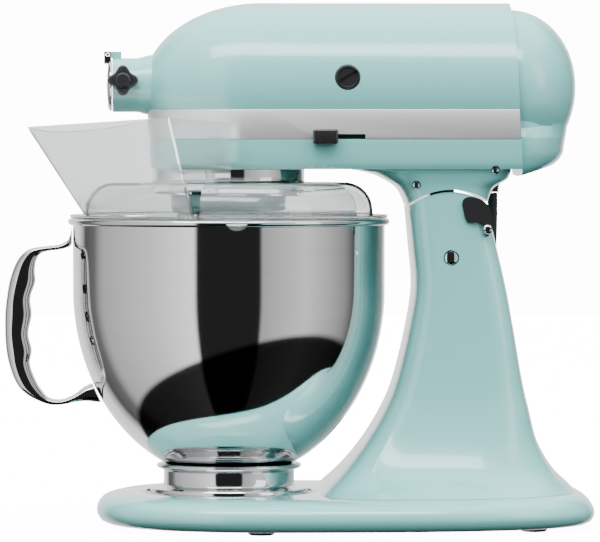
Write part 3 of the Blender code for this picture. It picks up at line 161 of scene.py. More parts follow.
def rod(radius, low, high, axis="Z", centre=(0, 0, 0), steps=48, edge=0.0):
    outline = [(0, low), (radius - edge, low), (radius, low + edge), (radius, high - edge),
               (radius - edge, high), (0, high)]
    if edge == 0:
        outline = [(0, low), (radius, low), (radius, high), (0, high)]
    return lathe(outline, steps, axis, centre)


def block(low, high, edge=0.0, segments=2):
    mesh = bmesh.new()
    bmesh.ops.create_cube(mesh, size=1)
    bmesh.ops.scale(mesh, vec=[b - a for a, b in zip(low, high)], verts=mesh.verts)
    bmesh.ops.translate(mesh, vec=[(a + b) / 2 for a, b in zip(low, high)], verts=mesh.verts)
    if edge:
        bmesh.ops.bevel(mesh, geom=mesh.edges, offset=edge, segments=segments, profile=0.5,
                        affect="EDGES", material=-1)
    return mesh


def points_in(items):
    return [item for item in items if isinstance(item, bmesh.types.BMVert)]


def prism(outline, low, high, axis="Y"):
    """An outline of (X, Z) points extruded along Y, or of (X, Y) points along Z."""
    mesh = bmesh.new()
    if axis == "Y":
        points = [mesh.verts.new((x, low, z)) for x, z in outline]
        move = (0, high - low, 0)
    else:
        points = [mesh.verts.new((x, y, low)) for x, y in outline]
        move = (0, 0, high - low)
    grown = bmesh.ops.extrude_face_region(mesh, geom=[mesh.faces.new(points)], use_keep_orig=True)
    bmesh.ops.translate(mesh, vec=move, verts=points_in(grown["geom"]))
    bmesh.ops.recalc_face_normals(mesh, faces=mesh.faces)
    return mesh


def loft(rings, capped=True):
    """One ring extruded from section to section; a layer remembers each point's place round it."""
    mesh = bmesh.new()
    around = mesh.verts.layers.int.new("around")
    start = bmesh.ops.create_circle(mesh, segments=len(rings[0]), radius=1)["verts"]
    for index, point in enumerate(start):
        point[around] = index
        point.co = rings[0][index]
    edges = mesh.edges[:]
    for ring in rings[1:]:
        grown = bmesh.ops.extrude_edge_only(mesh, edges=edges)["geom"]
        points = set(points_in(grown))
        for point in points:
            point.co = ring[point[around]]
        edges = [item for item in grown if isinstance(item, bmesh.types.BMEdge)
                 and item.verts[0] in points and item.verts[1] in points]
    if capped:
        bmesh.ops.holes_fill(mesh, edges=[edge for edge in mesh.edges if edge.is_boundary], sides=0)
    bmesh.ops.recalc_face_normals(mesh, faces=mesh.faces)
    return mesh


def arc(centre, radius, first, last, steps):
    found = []
    for i in range(steps + 1):
        angle = math.radians(first + (last - first) * i / steps)
        found.append((centre[0] + radius * math.cos(angle), centre[1] + radius * math.sin(angle)))
    return found


def smooth_line(points, parts):
    """A Catmull-Rom line through points of any size, with several parts to each span."""
    ends = [[2 * a - b for a, b in zip(points[0], points[1])]] + [list(p) for p in points]
    ends.append([2 * a - b for a, b in zip(points[-1], points[-2])])
    found = []
    for i in range(1, len(ends) - 2):
        for k in range(parts):
            t = k / parts
            found.append(tuple(
                0.5 * (2 * b + (c - a) * t + (2 * a - 5 * b + 4 * c - d) * t * t + (3 * b - a - 3 * c + d) * t ** 3)
                for a, b, c, d in zip(*ends[i - 1:i + 3])))
    found.append(tuple(points[-1]))
    return found


# %% [markdown]
# Castings meet and are drilled with Booleans. The tool and the base become loose objects,
# the modifier is read once, and only the resulting mesh is kept.

# %% Helpers: Booleans and joined shapes
CUT, FUSE = "DIFFERENCE", "UNION"


def combine(mesh, *steps):
    clean(mesh)
    base = object_from("base", mesh)
    for operation, tool_mesh in steps:
        clean(tool_mesh)
        tool = object_from("tool", tool_mesh)
        change = base.modifiers.new("cut", "BOOLEAN")
        change.operation = operation
        change.solver = "EXACT"
        change.object = tool
        result = bpy.data.meshes.new_from_object(base.evaluated_get(bpy.context.evaluated_depsgraph_get()))
        base.modifiers.clear()
        base.data = result
        bpy.data.objects.remove(tool)
    out = bmesh.new()
    out.from_mesh(base.data)
    bpy.data.objects.remove(base)
    return out


def joined(*meshes):
    """One bmesh that holds several closed shapes."""
    out = bmesh.new()
    for mesh in meshes:
        data = bpy.data.meshes.new("part")
        mesh.to_mesh(data)
        mesh.free()
        out.from_mesh(data)
        bpy.data.meshes.remove(data)
    return out


print("helpers ready")

# %% [markdown]
# ## Finishes
# Each finish is a Principled shader fed by a shared grain group. The group only measures
# the surface: a slow shade, a fine speckle and a height, all from Object coordinates.

# %% Shared grain group
def feed(tree, node, inputs):
    """Gives each input its value, or links it to the output that drives it."""
    for key, value in inputs.items():
        if isinstance(value, bpy.types.NodeSocket):
            tree.links.new(value, node.inputs[key])
        else:
            node.inputs[key].default_value = value


def add_node(tree, kind, inputs=None, **settings):
    """Adds a node, applies its settings, feeds its inputs and returns its outputs."""
    node = tree.nodes.new(kind)
    for key, value in settings.items():
        setattr(node, key, value)
    feed(tree, node, inputs or {})
    return node.outputs


def make_grain_group():
    group = bpy.data.node_groups.new("surface_grain", "ShaderNodeTree")
    face = group.interface
    face.new_socket("Vector", in_out="INPUT", socket_type="NodeSocketVector")
    for name, value in (("Slow Scale", 12.0), ("Fine Scale", 900.0), ("Fine Share", 0.5)):
        face.new_socket(name, in_out="INPUT", socket_type="NodeSocketFloat").default_value = value
    for name in ("Shade", "Speckle", "Height"):
        face.new_socket(name, in_out="OUTPUT", socket_type="NodeSocketFloat")
    come = add_node(group, "NodeGroupInput")
    slow, fine = [add_node(group, "ShaderNodeTexNoise",
                           {"Vector": come["Vector"], "Scale": come[scale], "Detail": detail})["Fac"]
                  for scale, detail in (("Slow Scale", 3), ("Fine Scale", 2))]
    blend = add_node(group, "ShaderNodeMix", {0: come["Fine Share"], 2: slow, 3: fine}, data_type="FLOAT")
    add_node(group, "NodeGroupOutput", {"Shade": slow, "Speckle": fine, "Height": blend[0]})
    return group


GRAIN = make_grain_group()
print("grain group with", len(GRAIN.nodes), "nodes")

# %% [markdown]
# A finish is then two colours that the slow shade mixes, two roughness values that the
# speckle mixes, and a small bump. Turned and brushed metal stretches the coordinates first.

# %% Finish maker
def make_finish(name, dark, light, rough=(0.3, 0.4), metallic=0.0, stretch=(1, 1, 1), slow=12.0,
                fine=900.0, share=0.5, bump=0.02, depth=0.0002, **plain):
    made = bpy.data.materials.new(name)
    made.use_nodes = True
    tree = made.node_tree
    shader = tree.nodes["Principled BSDF"]
    place = add_node(tree, "ShaderNodeTexCoord")["Object"]
    scaled = add_node(tree, "ShaderNodeMapping", {"Vector": place, "Scale": stretch})["Vector"]
    grain = add_node(tree, "ShaderNodeGroup", {"Vector": scaled, "Slow Scale": slow, "Fine Scale": fine,
                                               "Fine Share": share}, node_tree=GRAIN)
    colours = add_node(tree, "ShaderNodeMix", {0: grain["Shade"], 6: (*dark, 1), 7: (*light, 1)}, data_type="RGBA")
    gloss = add_node(tree, "ShaderNodeMapRange", {"Value": grain["Speckle"], "To Min": rough[0], "To Max": rough[1]})
    relief = add_node(tree, "ShaderNodeBump", {"Height": grain["Height"], "Strength": bump, "Distance": depth})
    feed(tree, shader, {"Base Color": colours[2], "Roughness": gloss["Result"], "Normal": relief["Normal"],
                        "Metallic": metallic})
    for socket, value in plain.items():
        shader.inputs[socket.replace("_", " ")].default_value = value
    return made


PAINT = make_finish("mint_enamel", (0.165, 0.505, 0.480), (0.185, 0.525, 0.500), (0.20, 0.27), slow=6, fine=260,
                    bump=0.05, depth=0.0002, Coat_Weight=1.0, Coat_Roughness=0.08)
STEEL = make_finish("polished_bowl_steel", (0.62, 0.62, 0.63), (0.68, 0.68, 0.69), (0.04, 0.08), 1.0,
                    stretch=(1, 1, 14), slow=10, fine=160, bump=0.02, depth=0.0001)
SATIN = make_finish("satin_band", (0.74, 0.75, 0.77), (0.82, 0.83, 0.85), (0.34, 0.44), 0.65, stretch=(1, 1, 30),
                    slow=20, fine=400, bump=0.06, depth=0.0001)
CHROME = make_finish("bright_chrome", (0.74, 0.74, 0.76), (0.82, 0.82, 0.84), (0.04, 0.09), 1.0, bump=0.02)
BLACK = make_finish("moulded_black", (0.010, 0.010, 0.011), (0.022, 0.022, 0.024), (0.24, 0.40), bump=0.15,
                    depth=0.0002, Coat_Weight=0.3)
RUBBER = make_finish("black_rubber", (0.012, 0.012, 0.013), (0.030, 0.030, 0.032), (0.55, 0.75), bump=0.25)
CLEAR = make_finish("clear_shield", (0.86, 0.915, 0.905), (0.90, 0.94, 0.93), (0.02, 0.05), slow=8, bump=0.01,
                    Transmission_Weight=0.92, IOR=1.49)
GEAR = make_finish("machined_steel", (0.30, 0.30, 0.32), (0.46, 0.46, 0.48), (0.25, 0.45), 1.0, stretch=(1, 1, 8),
                   bump=0.15)
CAST = make_finish("bare_casting", (0.40, 0.41, 0.42), (0.58, 0.59, 0.60), (0.45, 0.65), 1.0, fine=500, bump=0.5)
COPPER = make_finish("copper_and_bronze", (0.55, 0.26, 0.14), (0.76, 0.42, 0.24), (0.25, 0.45), 1.0, bump=0.1)
CARBON = make_finish("carbon_block", (0.015, 0.015, 0.016), (0.05, 0.05, 0.052), (0.6, 0.8), bump=0.4)
print("finishes:", [m.name for m in bpy.data.materials if m.use_nodes])

# %% [markdown]
# ## The mains cord
# A 7 mm rubber cord leaves the strain relief behind the column, hangs down, lands behind the
# base and is wound into a small coil of four turns with its plug beside it.

# %% The cord's route
CORD_RADIUS = 3.5
COIL_CENTRE = (172.0, 166.0)
CORD_ROUTE = (
    (184.8, 36.0, 229.2), (184.8, 36.0, 219.0), (184.8, 36.8, 208.0), (184.5, 39.0, 195.0), (184.0, 43.5, 180.0),
    (183.6, 49.5, 163.0), (184.0, 55.5, 143.0), (185.5, 61.5, 122.0), (188.0, 67.5, 101.0), (191.5, 74.0, 81.0),
    (196.0, 82.5, 62.0), (201.0, 93.5, 44.0), (206.0, 106.0, 28.0), (210.5, 119.5, 14.5), (213.0, 131.0, 6.6),
    (214.0, 139.5, 4.0),
)
COIL_LAYERS = ((42.0, 3.8), (35.0, 3.8), (35.0, 10.5), (42.0, 10.5))  # radius and height of each turn
PLUG_TAIL = (COIL_CENTRE[0] - 23.5, COIL_CENTRE[1] + 42.0, 17.4)


def coil_points(per_turn=20):
    """Four turns, each easing over to the next during the last third of its way round."""
    found = []
    for turn, (radius, height) in enumerate(COIL_LAYERS):
        onward = COIL_LAYERS[min(turn + 1, 3)]
        for k in range(per_turn):
            share = k / per_turn
            ease = max(0.0, (share - 0.66) / 0.34)
            ease = ease * ease * (3 - 2 * ease)
            r = radius + (onward[0] - radius) * ease
            z = height + (onward[1] - height) * ease
            angle = 2 * math.pi * share
            found.append((COIL_CENTRE[0] + r * math.cos(angle), COIL_CENTRE[1] + r * math.sin(angle), z))
    quarter = per_turn // 4
    for k in range(quarter + 1):
        share = k / quarter
        angle = math.pi / 2 * share
        found.append((COIL_CENTRE[0] + 42 * math.cos(angle), COIL_CENTRE[1] + 42 * math.sin(angle),
                      10.5 + 4.2 * share * share))
    return found


# %% The cord, its coil and its strain relief
def in_place(point):
    return Vector((point[0] + BOWL_X / MM, point[1], point[2])) * MM


def make_tube(name, route, radius, sides=16):
    """A closed tube along points: a circle is extruded from each point to the next."""
    spots = [in_place(point) for point in route]
    frames = []
    side = Vector((0, 1, 0))
    for i, spot in enumerate(spots):
        along = (spots[min(i + 1, len(spots) - 1)] - spots[max(i - 1, 0)]).normalized()
        side = (side - along * side.dot(along)).normalized()
        frames.append((spot, side.copy(), along.cross(side)))
    rings = [[spot + (a * math.cos(2 * math.pi * k / sides) + b * math.sin(2 * math.pi * k / sides)) * radius * MM
              for k in range(sides)] for spot, a, b in frames]
    made = object_from(name, loft(rings))
    made.data.materials.append(RUBBER)
    smooth_by_angle(made.data, 50)
    return made, spots


def make_plug():
    """The moulded plug: a tail that flares to a round grip, a face and two round pins."""
    grip = lathe([(0, 0), (4.3, 0), (4.8, 1), (4.8, 3), (4.1, 4), (5.2, 5), (5.2, 7), (4.6, 8), (5.8, 9), (5.8, 11),
                  (5.4, 12), (7.5, 14.5), (11.5, 19), (15.4, 21.6), (16.6, 24), (16.9, 27), (16.2, 31), (16.2, 38),
                  (16.9, 42), (16.6, 45), (15.6, 46), (0, 46)], 64)
    pins = [rod(2.4, 44, 62, centre=(0, side * 9.5, 0), steps=24, edge=0.8) for side in (-1, 1)]
    mesh = joined(grip, *pins)
    mesh.transform(Matrix.Translation(PLUG_TAIL) @ Matrix.Rotation(math.radians(-90), 4, "Y"))
    return finish_piece("mains_plug", mesh, "stand", RUBBER, ["plug"], 35)


tail_run = [(COIL_CENTRE[0] - 6, PLUG_TAIL[1], 15.6), (COIL_CENTRE[0] - 14, PLUG_TAIL[1], 16.9), PLUG_TAIL]
hang = smooth_line(CORD_ROUTE, 3)
route = hang + coil_points() + tail_run
cord, cord_path = make_tube("mains_cord", route, CORD_RADIUS)
plug = make_plug()
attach(cord, "stand")
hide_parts("cord_run", "cord_coil")

# %% [markdown]
# ## The stand
# The stand is one casting: a rounded foot that rises into the column. Every level is a rounded
# oval, so the casting is a loft through seventeen levels, smoothed between them.

# %% The stand's levels
PIVOT = (150.7, 185.6)  # X and height of the hinge
PIVOT_LINE = (PIVOT[0], 0, PIVOT[1])
JOINT_RADIUS = 44.8
JOINT_GAP = 1.6
PIN_HOLE = 5.3
STAND_WALL = 6.5
PLATE_RECESS = (60.3, 20.2)  # radius and floor of the clamp plate's seat
# Height, front, rear, half width, front and rear squareness, and where it is widest.
STAND_LEVELS = (
    (3.0, -84.0, 246.0, 107.0, 2.3, 3.0, 40.0), (5.5, -88.8, 250.0, 111.5, 2.3, 3.0, 40.0),
    (11.0, -91.3, 251.6, 114.0, 2.3, 3.0, 40.0), (17.0, -89.8, 249.0, 112.5, 2.3, 3.0, 40.0),
    (21.5, -85.0, 245.0, 107.5, 2.3, 3.0, 40.0), (24.0, -76.0, 241.0, 99.0, 2.3, 3.0, 40.0),
)
COLUMN_LEVELS = (
    (24.3, 62.0, 238.6, 91.0, 5.0, 2.5, 130.0), (29.5, 66.0, 234.1, 80.0, 5.0, 2.6, 132.0),
    (41.0, 77.8, 222.5, 66.5, 5.0, 3.0, 138.0), (59.0, 92.3, 212.0, 57.0, 5.0, 3.6, 144.0),
    (81.0, 105.4, 206.0, 51.0, 5.0, 4.2, 150.0), (101.0, 113.6, 201.3, 48.3, 5.0, 4.6, 153.0),
    (134.0, 121.7, 195.5, 46.3, 5.0, 5.0, 156.0), (165.0, 126.5, 189.8, 45.3, 5.0, 5.0, 156.0),
    (195.0, 124.3, 182.8, 45.0, 5.0, 5.0, 153.0), (222.0, 121.8, 176.2, 45.0, 5.0, 5.0, 149.0),
    (236.0, 120.6, 173.0, 45.0, 5.0, 5.0, 147.0),
)


def oval(level, inset=0.0, height=None, steps=112):
    """A rounded oval: an ellipse whose squareness number is near 2 when round and 5 when boxy."""
    z, front, rear, half, front_square, rear_square, centre = level
    found = []
    for i in range(steps):
        angle = 2 * math.pi * i / steps
        c, s = math.cos(angle), math.sin(angle)
        power = 2 / (rear_square if c >= 0 else front_square)
        reach = (rear - centre if c >= 0 else centre - front) - inset
        found.append(Vector((centre + math.copysign(reach * abs(c) ** power, c),
                             math.copysign((half - inset) * abs(s) ** power, s), z if height is None else height)))
    return found


def above_joint():
    outline = arc(PIVOT, JOINT_RADIUS, 36, 144, 60)
    floor = outline[0][1]
    outline += [(PIVOT[0] - 70, floor), (PIVOT[0] - 70, 260), (PIVOT[0] + 70, 260), (PIVOT[0] + 70, floor)]
    return prism(outline, -70, 70)


def knuckle_slot():
    """The slot in the column's top in which the head's tongue swings back by 40 degrees."""
    outline = arc(PIVOT, 14, 180, 389.1, 40)
    outline += [(PIVOT[0] + 42.4, PIVOT[1] + 42.7), (PIVOT[0] - 14, PIVOT[1] + 60)]
    return prism(outline, -15, 15)


def make_stand():
    base = [oval(level) for level in smooth_line(STAND_LEVELS, 4)]
    column = [oval(level) for level in smooth_line(COLUMN_LEVELS, 5)]
    root = oval(COLUMN_LEVELS[0], 0, 20.0)
    inner = [oval(STAND_LEVELS[1], STAND_WALL, -2.0)]
    inner += [oval(level, STAND_WALL, level[0] - STAND_WALL) for level in STAND_LEVELS[2:5] + COLUMN_LEVELS[:8]]
    radius, floor = PLATE_RECESS
    pin = rod(PIN_HOLE, -60, 60, "Y", PIVOT_LINE)
    mesh = combine(loft(base), (FUSE, loft([root] + column)), (CUT, loft(inner)),
                   (CUT, rod(radius, floor, 40, steps=128)), (CUT, above_joint()), (CUT, knuckle_slot()), (CUT, pin))
    return finish_piece("stand_casting", mesh, "stand", PAINT, ["pedestal"], 34)


stand = make_stand()
print("stand:", len(stand.data.polygons), "faces")

# %% [markdown]
# ## Feet, clamp plate, pin and screws
# These are turned parts: an outline and one spin each. The feet are soft-edged discs with a
# stem, and every screw head is a low dome with a driver slot cut across it.

# %% Turned parts of the stand
FEET = ((-62, 0), (20, 86), (20, -86), (206, 62), (206, -62))


def screw_head(radius, height, depth, axis, centre, turn=0.0, slot=1.0):
    """A domed head from its seat outwards, with a slot, along +axis or -axis by the sign of height."""
    rise = abs(height)
    outline = [(0, -depth), (radius * 0.5, -depth), (radius * 0.5, 0), (radius, 0), (radius, rise * 0.35),
               (radius * 0.82, rise * 0.75), (radius * 0.5, rise * 0.95), (0, rise)]
    head = lathe(outline, 40)
    cut = block((-radius * 1.2, -slot / 2, rise * 0.5), (radius * 1.2, slot / 2, rise * 2))
    cut.transform(Matrix.Rotation(math.radians(turn), 4, "Z"))
    head = combine(head, (CUT, cut))
    if height < 0:
        head.transform(Matrix.Rotation(math.pi, 4, "X"))
    head.transform(turn_to(axis, centre))
    return head


for number, (x, y) in enumerate(FEET, 1):
    foot = lathe([(0, 0), (7.4, 0), (8.4, 0.4), (9, 1.3), (9, 2.4), (8.7, 2.7), (3, 2.7), (3, 8), (0, 8)], 48,
                 centre=(x, y, 0))
    finish_piece(f"foot_{number}", foot, "stand", RUBBER, [f"rubber_foot_{number}"])

plate = lathe([(8, 20.5), (59.4, 20.5), (60, 21.1), (60, 24.1), (59.5, 24.6), (57.9, 24.6),
               (57.4, 24.1), (57.4, 22.6), (56.8, 22), (8, 22)], 128)
finish_piece("clamp_plate", plate, "stand", STEEL, ["bowl_clamp_plate"])
for number, angle in enumerate((0, 120, 240), 1):
    x, y = 24 * math.cos(math.radians(angle)), 24 * math.sin(math.radians(angle))
    head = screw_head(4.2, 1.9, 10, "Z", (x, y, 22.3), 35 * number)
    finish_piece(f"plate_screw_{number}", head, "stand", CHROME, [f"clamp_plate_screw_{number}"])

pin = lathe([(0, -46.2), (2.6, -46.0), (4.3, -45.4), (5, -44.2), (5, 44.2), (4.3, 45.4), (2.6, 46.0),
             (0, 46.2)], 64, "Y", PIVOT_LINE)
finish_piece("pivot_pin", pin, "stand", CHROME, ["hinge_pin"])

COVER_SCREW = (175.3, 205.0)
cover_outline = smooth_line([(157.8, 221.8), (158.8, 225.4), (162.4, 227.2), (167.0, 226.6), (171.6, 224.8),
                             (175.4, 221.6), (177.6, 217.0), (178.6, 211.5), (177.5, 205.0), (175.6, 200.0)], 3)
cover_outline += [(173.4, 202.6), (171.8, 209.8), (161.9, 209.8), (160.0, 212.0)]
cover = combine(prism(cover_outline, -47.4, -30), (CUT, loft([oval(level, -0.3) for level in COLUMN_LEVELS[6:]])),
                (CUT, rod(1.9, -60, -20, "Y", (COVER_SCREW[0], 0, COVER_SCREW[1]))))
finish_piece("gap_cover", cover, "stand", BLACK, ["hinge_gap_cover"], 30, 0.7)
screw = screw_head(3.2, -1.6, 3.0, "Y", (COVER_SCREW[0], -47.7, COVER_SCREW[1]), 20)
finish_piece("gap_cover_fixing", screw, "stand", CHROME, ["gap_cover_screw"])
print("stand pieces:", pieces_made)

# %% [markdown]
# ## The head castings
# The head is a round ridge with a rounded nose and flat sides. Half an outline is spun half a
# turn for the nose and both ends are extruded back to the parting plane: one closed shell.

# %% Nose-and-sides shell
HEAD_AXIS = 302.2
HEAD_RADIUS = 58.0
HEAD_REAR = 193.0
HEAD_WALL = 3.4
NOSE_CENTRE = 22.6
NOSE_LENGTH = 81.5
INNER_NOSE = 78.1
LEAN = 0.05  # the parting plane at the rear leans back towards the bottom
BAND_TOP = 287.0
BAND_BOTTOM = 266.3
BAND_ANGLE = math.degrees(math.asin((BAND_TOP - HEAD_AXIS) / HEAD_RADIUS))
SIDE_TOP = HEAD_RADIUS * math.cos(math.radians(BAND_ANGLE))
NOSE_TOP = NOSE_LENGTH * math.cos(math.radians(BAND_ANGLE))
SIDE_BOTTOM = SIDE_TOP - 0.2
CHIN = 76.6
SPLIT = (BAND_TOP + BAND_BOTTOM) / 2


def dome_profile(radius, length, first, last, steps):
    found = []
    for i in range(steps + 1):
        angle = math.radians(first + (last - first) * i / steps)
        c = 0.0 if i == 0 else math.cos(angle)
        found.append((radius * c, length * c, HEAD_AXIS + radius * math.sin(angle)))
    return found


def nosed_shell(outer, inner, centre, rear, lean=0.0, turn=-1, steps=72):
    """A shell from (half width, reach of the nose, height) points, outside then inside."""
    chain = outer + inner[::-1]
    mesh = bmesh.new()
    row = mesh.verts.layers.int.new("row")
    points = []
    for index, (half, reach, height) in enumerate(chain):
        point = mesh.verts.new((centre, -half, height))
        point[row] = index
        points.append(point)
    edges = []
    for index, point in enumerate(points):
        after = (index + 1) % len(points)
        if chain[index][0] or chain[after][0]:
            edges.append(mesh.edges.new((point, points[after])))
    bmesh.ops.spin(mesh, geom=points + edges, angle=turn * math.pi, steps=steps, axis=(0, 0, 1),
                   cent=(centre, 0, 0))
    for point in mesh.verts:
        half, reach, height = chain[point[row]]
        if half:
            point.co.x = centre + (point.co.x - centre) * reach / half
    open_edges = [edge for edge in mesh.edges if edge.is_boundary
                  and all(abs(point.co.x - centre) < 1e-4 for point in edge.verts)
                  and any(abs(point.co.y) > 1e-4 for point in edge.verts)]
    grown = bmesh.ops.extrude_edge_only(mesh, edges=open_edges)["geom"]
    for point in points_in(grown):
        point.co.x = rear + lean * (HEAD_AXIS + HEAD_RADIUS - point.co.z)
    bmesh.ops.remove_doubles(mesh, verts=mesh.verts, dist=WELD)
    bmesh.ops.holes_fill(mesh, edges=[edge for edge in mesh.edges if edge.is_boundary], sides=0)
    bmesh.ops.recalc_face_normals(mesh, faces=mesh.faces)
    return mesh


# %% [markdown]
# The upper casting carries the attachment hub: a short round boss on the nose with a bore.
# A Boolean joins and bores it, because a cast boss meets the nose in a plain crease.

# %% Upper housing
HUB_AXIS = 303.6
HUB_FRONT = 80.2
HUB_RADIUS = 18.6
HUB_BORE = 14.5
HINGE = (-83.4, 0, 324.6)  # the pin of the hub's cover
LUG = 2.1  # half the height of the lug round it
LID_PIN_HOLE = 1.4
STEP = 1.8  # how deep the seam band is let into the castings
BRUSH_X = 79.4
MOTOR_AXIS = 308.4
KNOB = (-72.9, 0, 306.6)


def make_upper_housing():
    outer = dome_profile(HEAD_RADIUS, NOSE_LENGTH, 90, BAND_ANGLE, 36)
    outer += [(SIDE_TOP - STEP, NOSE_TOP - STEP, BAND_TOP),
              ((SIDE_TOP + SIDE_BOTTOM) / 2 - STEP, (NOSE_TOP + CHIN) / 2 - STEP, SPLIT + 0.15)]
    inner = dome_profile(HEAD_RADIUS - HEAD_WALL, INNER_NOSE, 90, BAND_ANGLE, 24)
    half, reach = inner[-1][:2]
    inner += [(half, reach, (BAND_TOP + SPLIT) / 2), (half, reach, SPLIT + 0.15)]
    shell = nosed_shell(outer, inner, NOSE_CENTRE, HEAD_REAR, LEAN)
    boss = lathe([(0, 50), (21.5, 50), (20.2, 57), (19.2, 60.5), (HUB_RADIUS, 63), (HUB_RADIUS, HUB_FRONT - 0.8),
                  (17.8, HUB_FRONT), (0, HUB_FRONT)], 96)
    boss.transform(Matrix.Translation((0, 0, HUB_AXIS)) @ Matrix.Rotation(math.radians(-90), 4, "Y"))
    low, high = HINGE[2] - LUG, HINGE[2] + LUG
    root = HUB_AXIS + 17.2
    lug = prism([(-79.2, root), (-80.5, low), (-85.2, low), (-86, low + 0.8), (-86, high - 0.8), (-85.2, high),
                 (-74, high), (-74, root)], -3, 3)
    mesh = combine(shell, (FUSE, boss), (FUSE, lug),
                   (CUT, rod(HUB_BORE, -100, -40, "X", (0, 0, HUB_AXIS), 80)),
                   (CUT, rod(3.4, -30, 0, "Y", KNOB, 32)),
                   (CUT, rod(LID_PIN_HOLE, -10, 10, "Y", HINGE, 24)),
                   (CUT, rod(8.7, -70, 70, "Y", (BRUSH_X, 0, MOTOR_AXIS), 64)))
    return finish_piece("upper_casting", mesh, "head", PAINT, ["upper_housing"], 34)


upper = make_upper_housing()
print("upper casting:", len(upper.data.polygons), "faces")

# %% [markdown]
# The lower casting has the flat floor, and behind it the lobe that comes down to the column.
# The lobe ends in a round hollow that turns over the column's round top.

# %% Lower housing
LOBE_LEVELS = (
    (221.0, 121.6, 177.0, 45.6), (226.3, 119.9, 178.0, 46.0), (233.2, 115.7, 181.5, 47.0),
    (238.7, 107.4, 190.2, 48.6), (242.9, 97.8, 192.8, 50.2), (246.0, 84.0, 193.4, 51.6), (252.0, 70.0, 193.4, 52.0),
)
HEAD_FLOOR = 246.0
LEVER_Z = 268.2
LOCK_SLOT = (55.7, 91.6)
SPEED_SLOT = (28.0, 92.0)
HOUSING_SCREWS = ((126.7, 235.3, 46.0), (180.3, 245.4, 48.8))
CORD_EXIT = (184.8, 36.0, 229.5)


def lever_slot(span, side):
    near, far = sorted((side * 45, side * 70))
    return block((span[0], near, LEVER_Z - 1.65), (span[1], far, LEVER_Z + 1.65))


def make_lower_housing():
    outer = [(SIDE_BOTTOM - STEP, CHIN - STEP, SPLIT - 0.15), (SIDE_BOTTOM - STEP, CHIN - STEP, BAND_BOTTOM),
             (SIDE_BOTTOM, CHIN, BAND_BOTTOM)]
    outer += smooth_line([(SIDE_BOTTOM, CHIN, 264.5), (SIDE_BOTTOM - 0.6, CHIN, 257),
                          (SIDE_BOTTOM - 1.6, CHIN - 0.4, 250), (SIDE_BOTTOM - 3.2, CHIN - 1.8, HEAD_FLOOR)], 5)
    outer += [(0, 0, HEAD_FLOOR)]
    inner = [(SIDE_BOTTOM - 5.2, CHIN - 5.2, SPLIT - 0.15), (SIDE_BOTTOM - 5.2, CHIN - 5.2, 257),
             (SIDE_BOTTOM - 5.6, CHIN - 5.6, 252), (SIDE_BOTTOM - 6.7, CHIN - 6.7, 249.6), (0, 0, 249.6)]
    shell = nosed_shell(outer, inner, NOSE_CENTRE, HEAD_REAR, LEAN)
    levels = [(z, front, rear, half, 5.0, 5.0, (front + rear) / 2) for z, front, rear, half in
              smooth_line(LOBE_LEVELS, 6)]
    tongue = arc(PIVOT, 13, 180, 432, 48) + [(PIVOT[0] + 4, 240), (PIVOT[0] - 13, 240)]
    steps = [(FUSE, loft([oval(level) for level in levels])),
             (CUT, rod(JOINT_RADIUS + JOINT_GAP, -70, 70, "Y", PIVOT_LINE, 192)),
             (FUSE, prism(tongue, -14, 14)),
             (CUT, rod(PIN_HOLE, -60, 60, "Y", PIVOT_LINE)),
             (CUT, lever_slot(LOCK_SLOT, -1)), (CUT, lever_slot(SPEED_SLOT, 1)),
             (CUT, rod(12.0, 240, 260)), (CUT, rod(7.4, 222, 256, centre=CORD_EXIT[:2] + (0,)))]
    for x, z, half in HOUSING_SCREWS:
        for side in (-1, 1):
            low, high = sorted((side * (half - 4), side * 60))
            steps.append((CUT, rod(3.0, low, high, "Y", (x, 0, z), 32)))
    mesh = combine(shell, *steps)
    return finish_piece("lower_casting", mesh, "head", PAINT, ["lower_housing"], 34)


lower = make_lower_housing()
print("lower casting:", len(lower.data.polygons), "faces")

# %% [markdown]
# ## Trim band and rear cover
# A satin metal strip hides the seam between the castings. The rear cover is a dome that a skirt
# carries down; its profile is spun like the nose, then the skirt is pulled in and sloped.

# %% Trim band and rear cover
COVER_RADIUS = 53.4
COVER_LENGTH = 45.9
SKIRT_TOP = 262.0
SKIRT_HEIGHT = 17.0
SKIRT_SLOPE = 0.28  # how much its lower edge climbs towards the rear
SKIRT_LEVEL_X = 208.0  # and where it neither climbs nor falls


def make_band():
    def edge_points(*offsets):
        """Four points from the band's top edge to its bottom edge, each moved out by its offset."""
        corners = ((SIDE_TOP, NOSE_TOP, BAND_TOP - 0.3), (SIDE_TOP, NOSE_TOP, BAND_TOP - 0.7),
                   (SIDE_BOTTOM, CHIN, BAND_BOTTOM + 0.7), (SIDE_BOTTOM, CHIN, BAND_BOTTOM + 0.3))
        return [(half + out, reach + out, height) for (half, reach, height), out in zip(corners, offsets)]

    outer, inner = edge_points(0.1, 0.3, 0.3, 0.1), edge_points(-1.2, -1.2, -1.2, -1.2)
    band = combine(nosed_shell(outer, inner, NOSE_CENTRE, HEAD_REAR - 0.4, LEAN),
                   (CUT, rod(18.9, -100, -40, "X", (0, 0, HUB_AXIS), 80)),
                   (CUT, lever_slot(LOCK_SLOT, -1)), (CUT, lever_slot(SPEED_SLOT, 1)))
    return finish_piece("seam_band", band, "head", SATIN, ["trim_band"], 30)


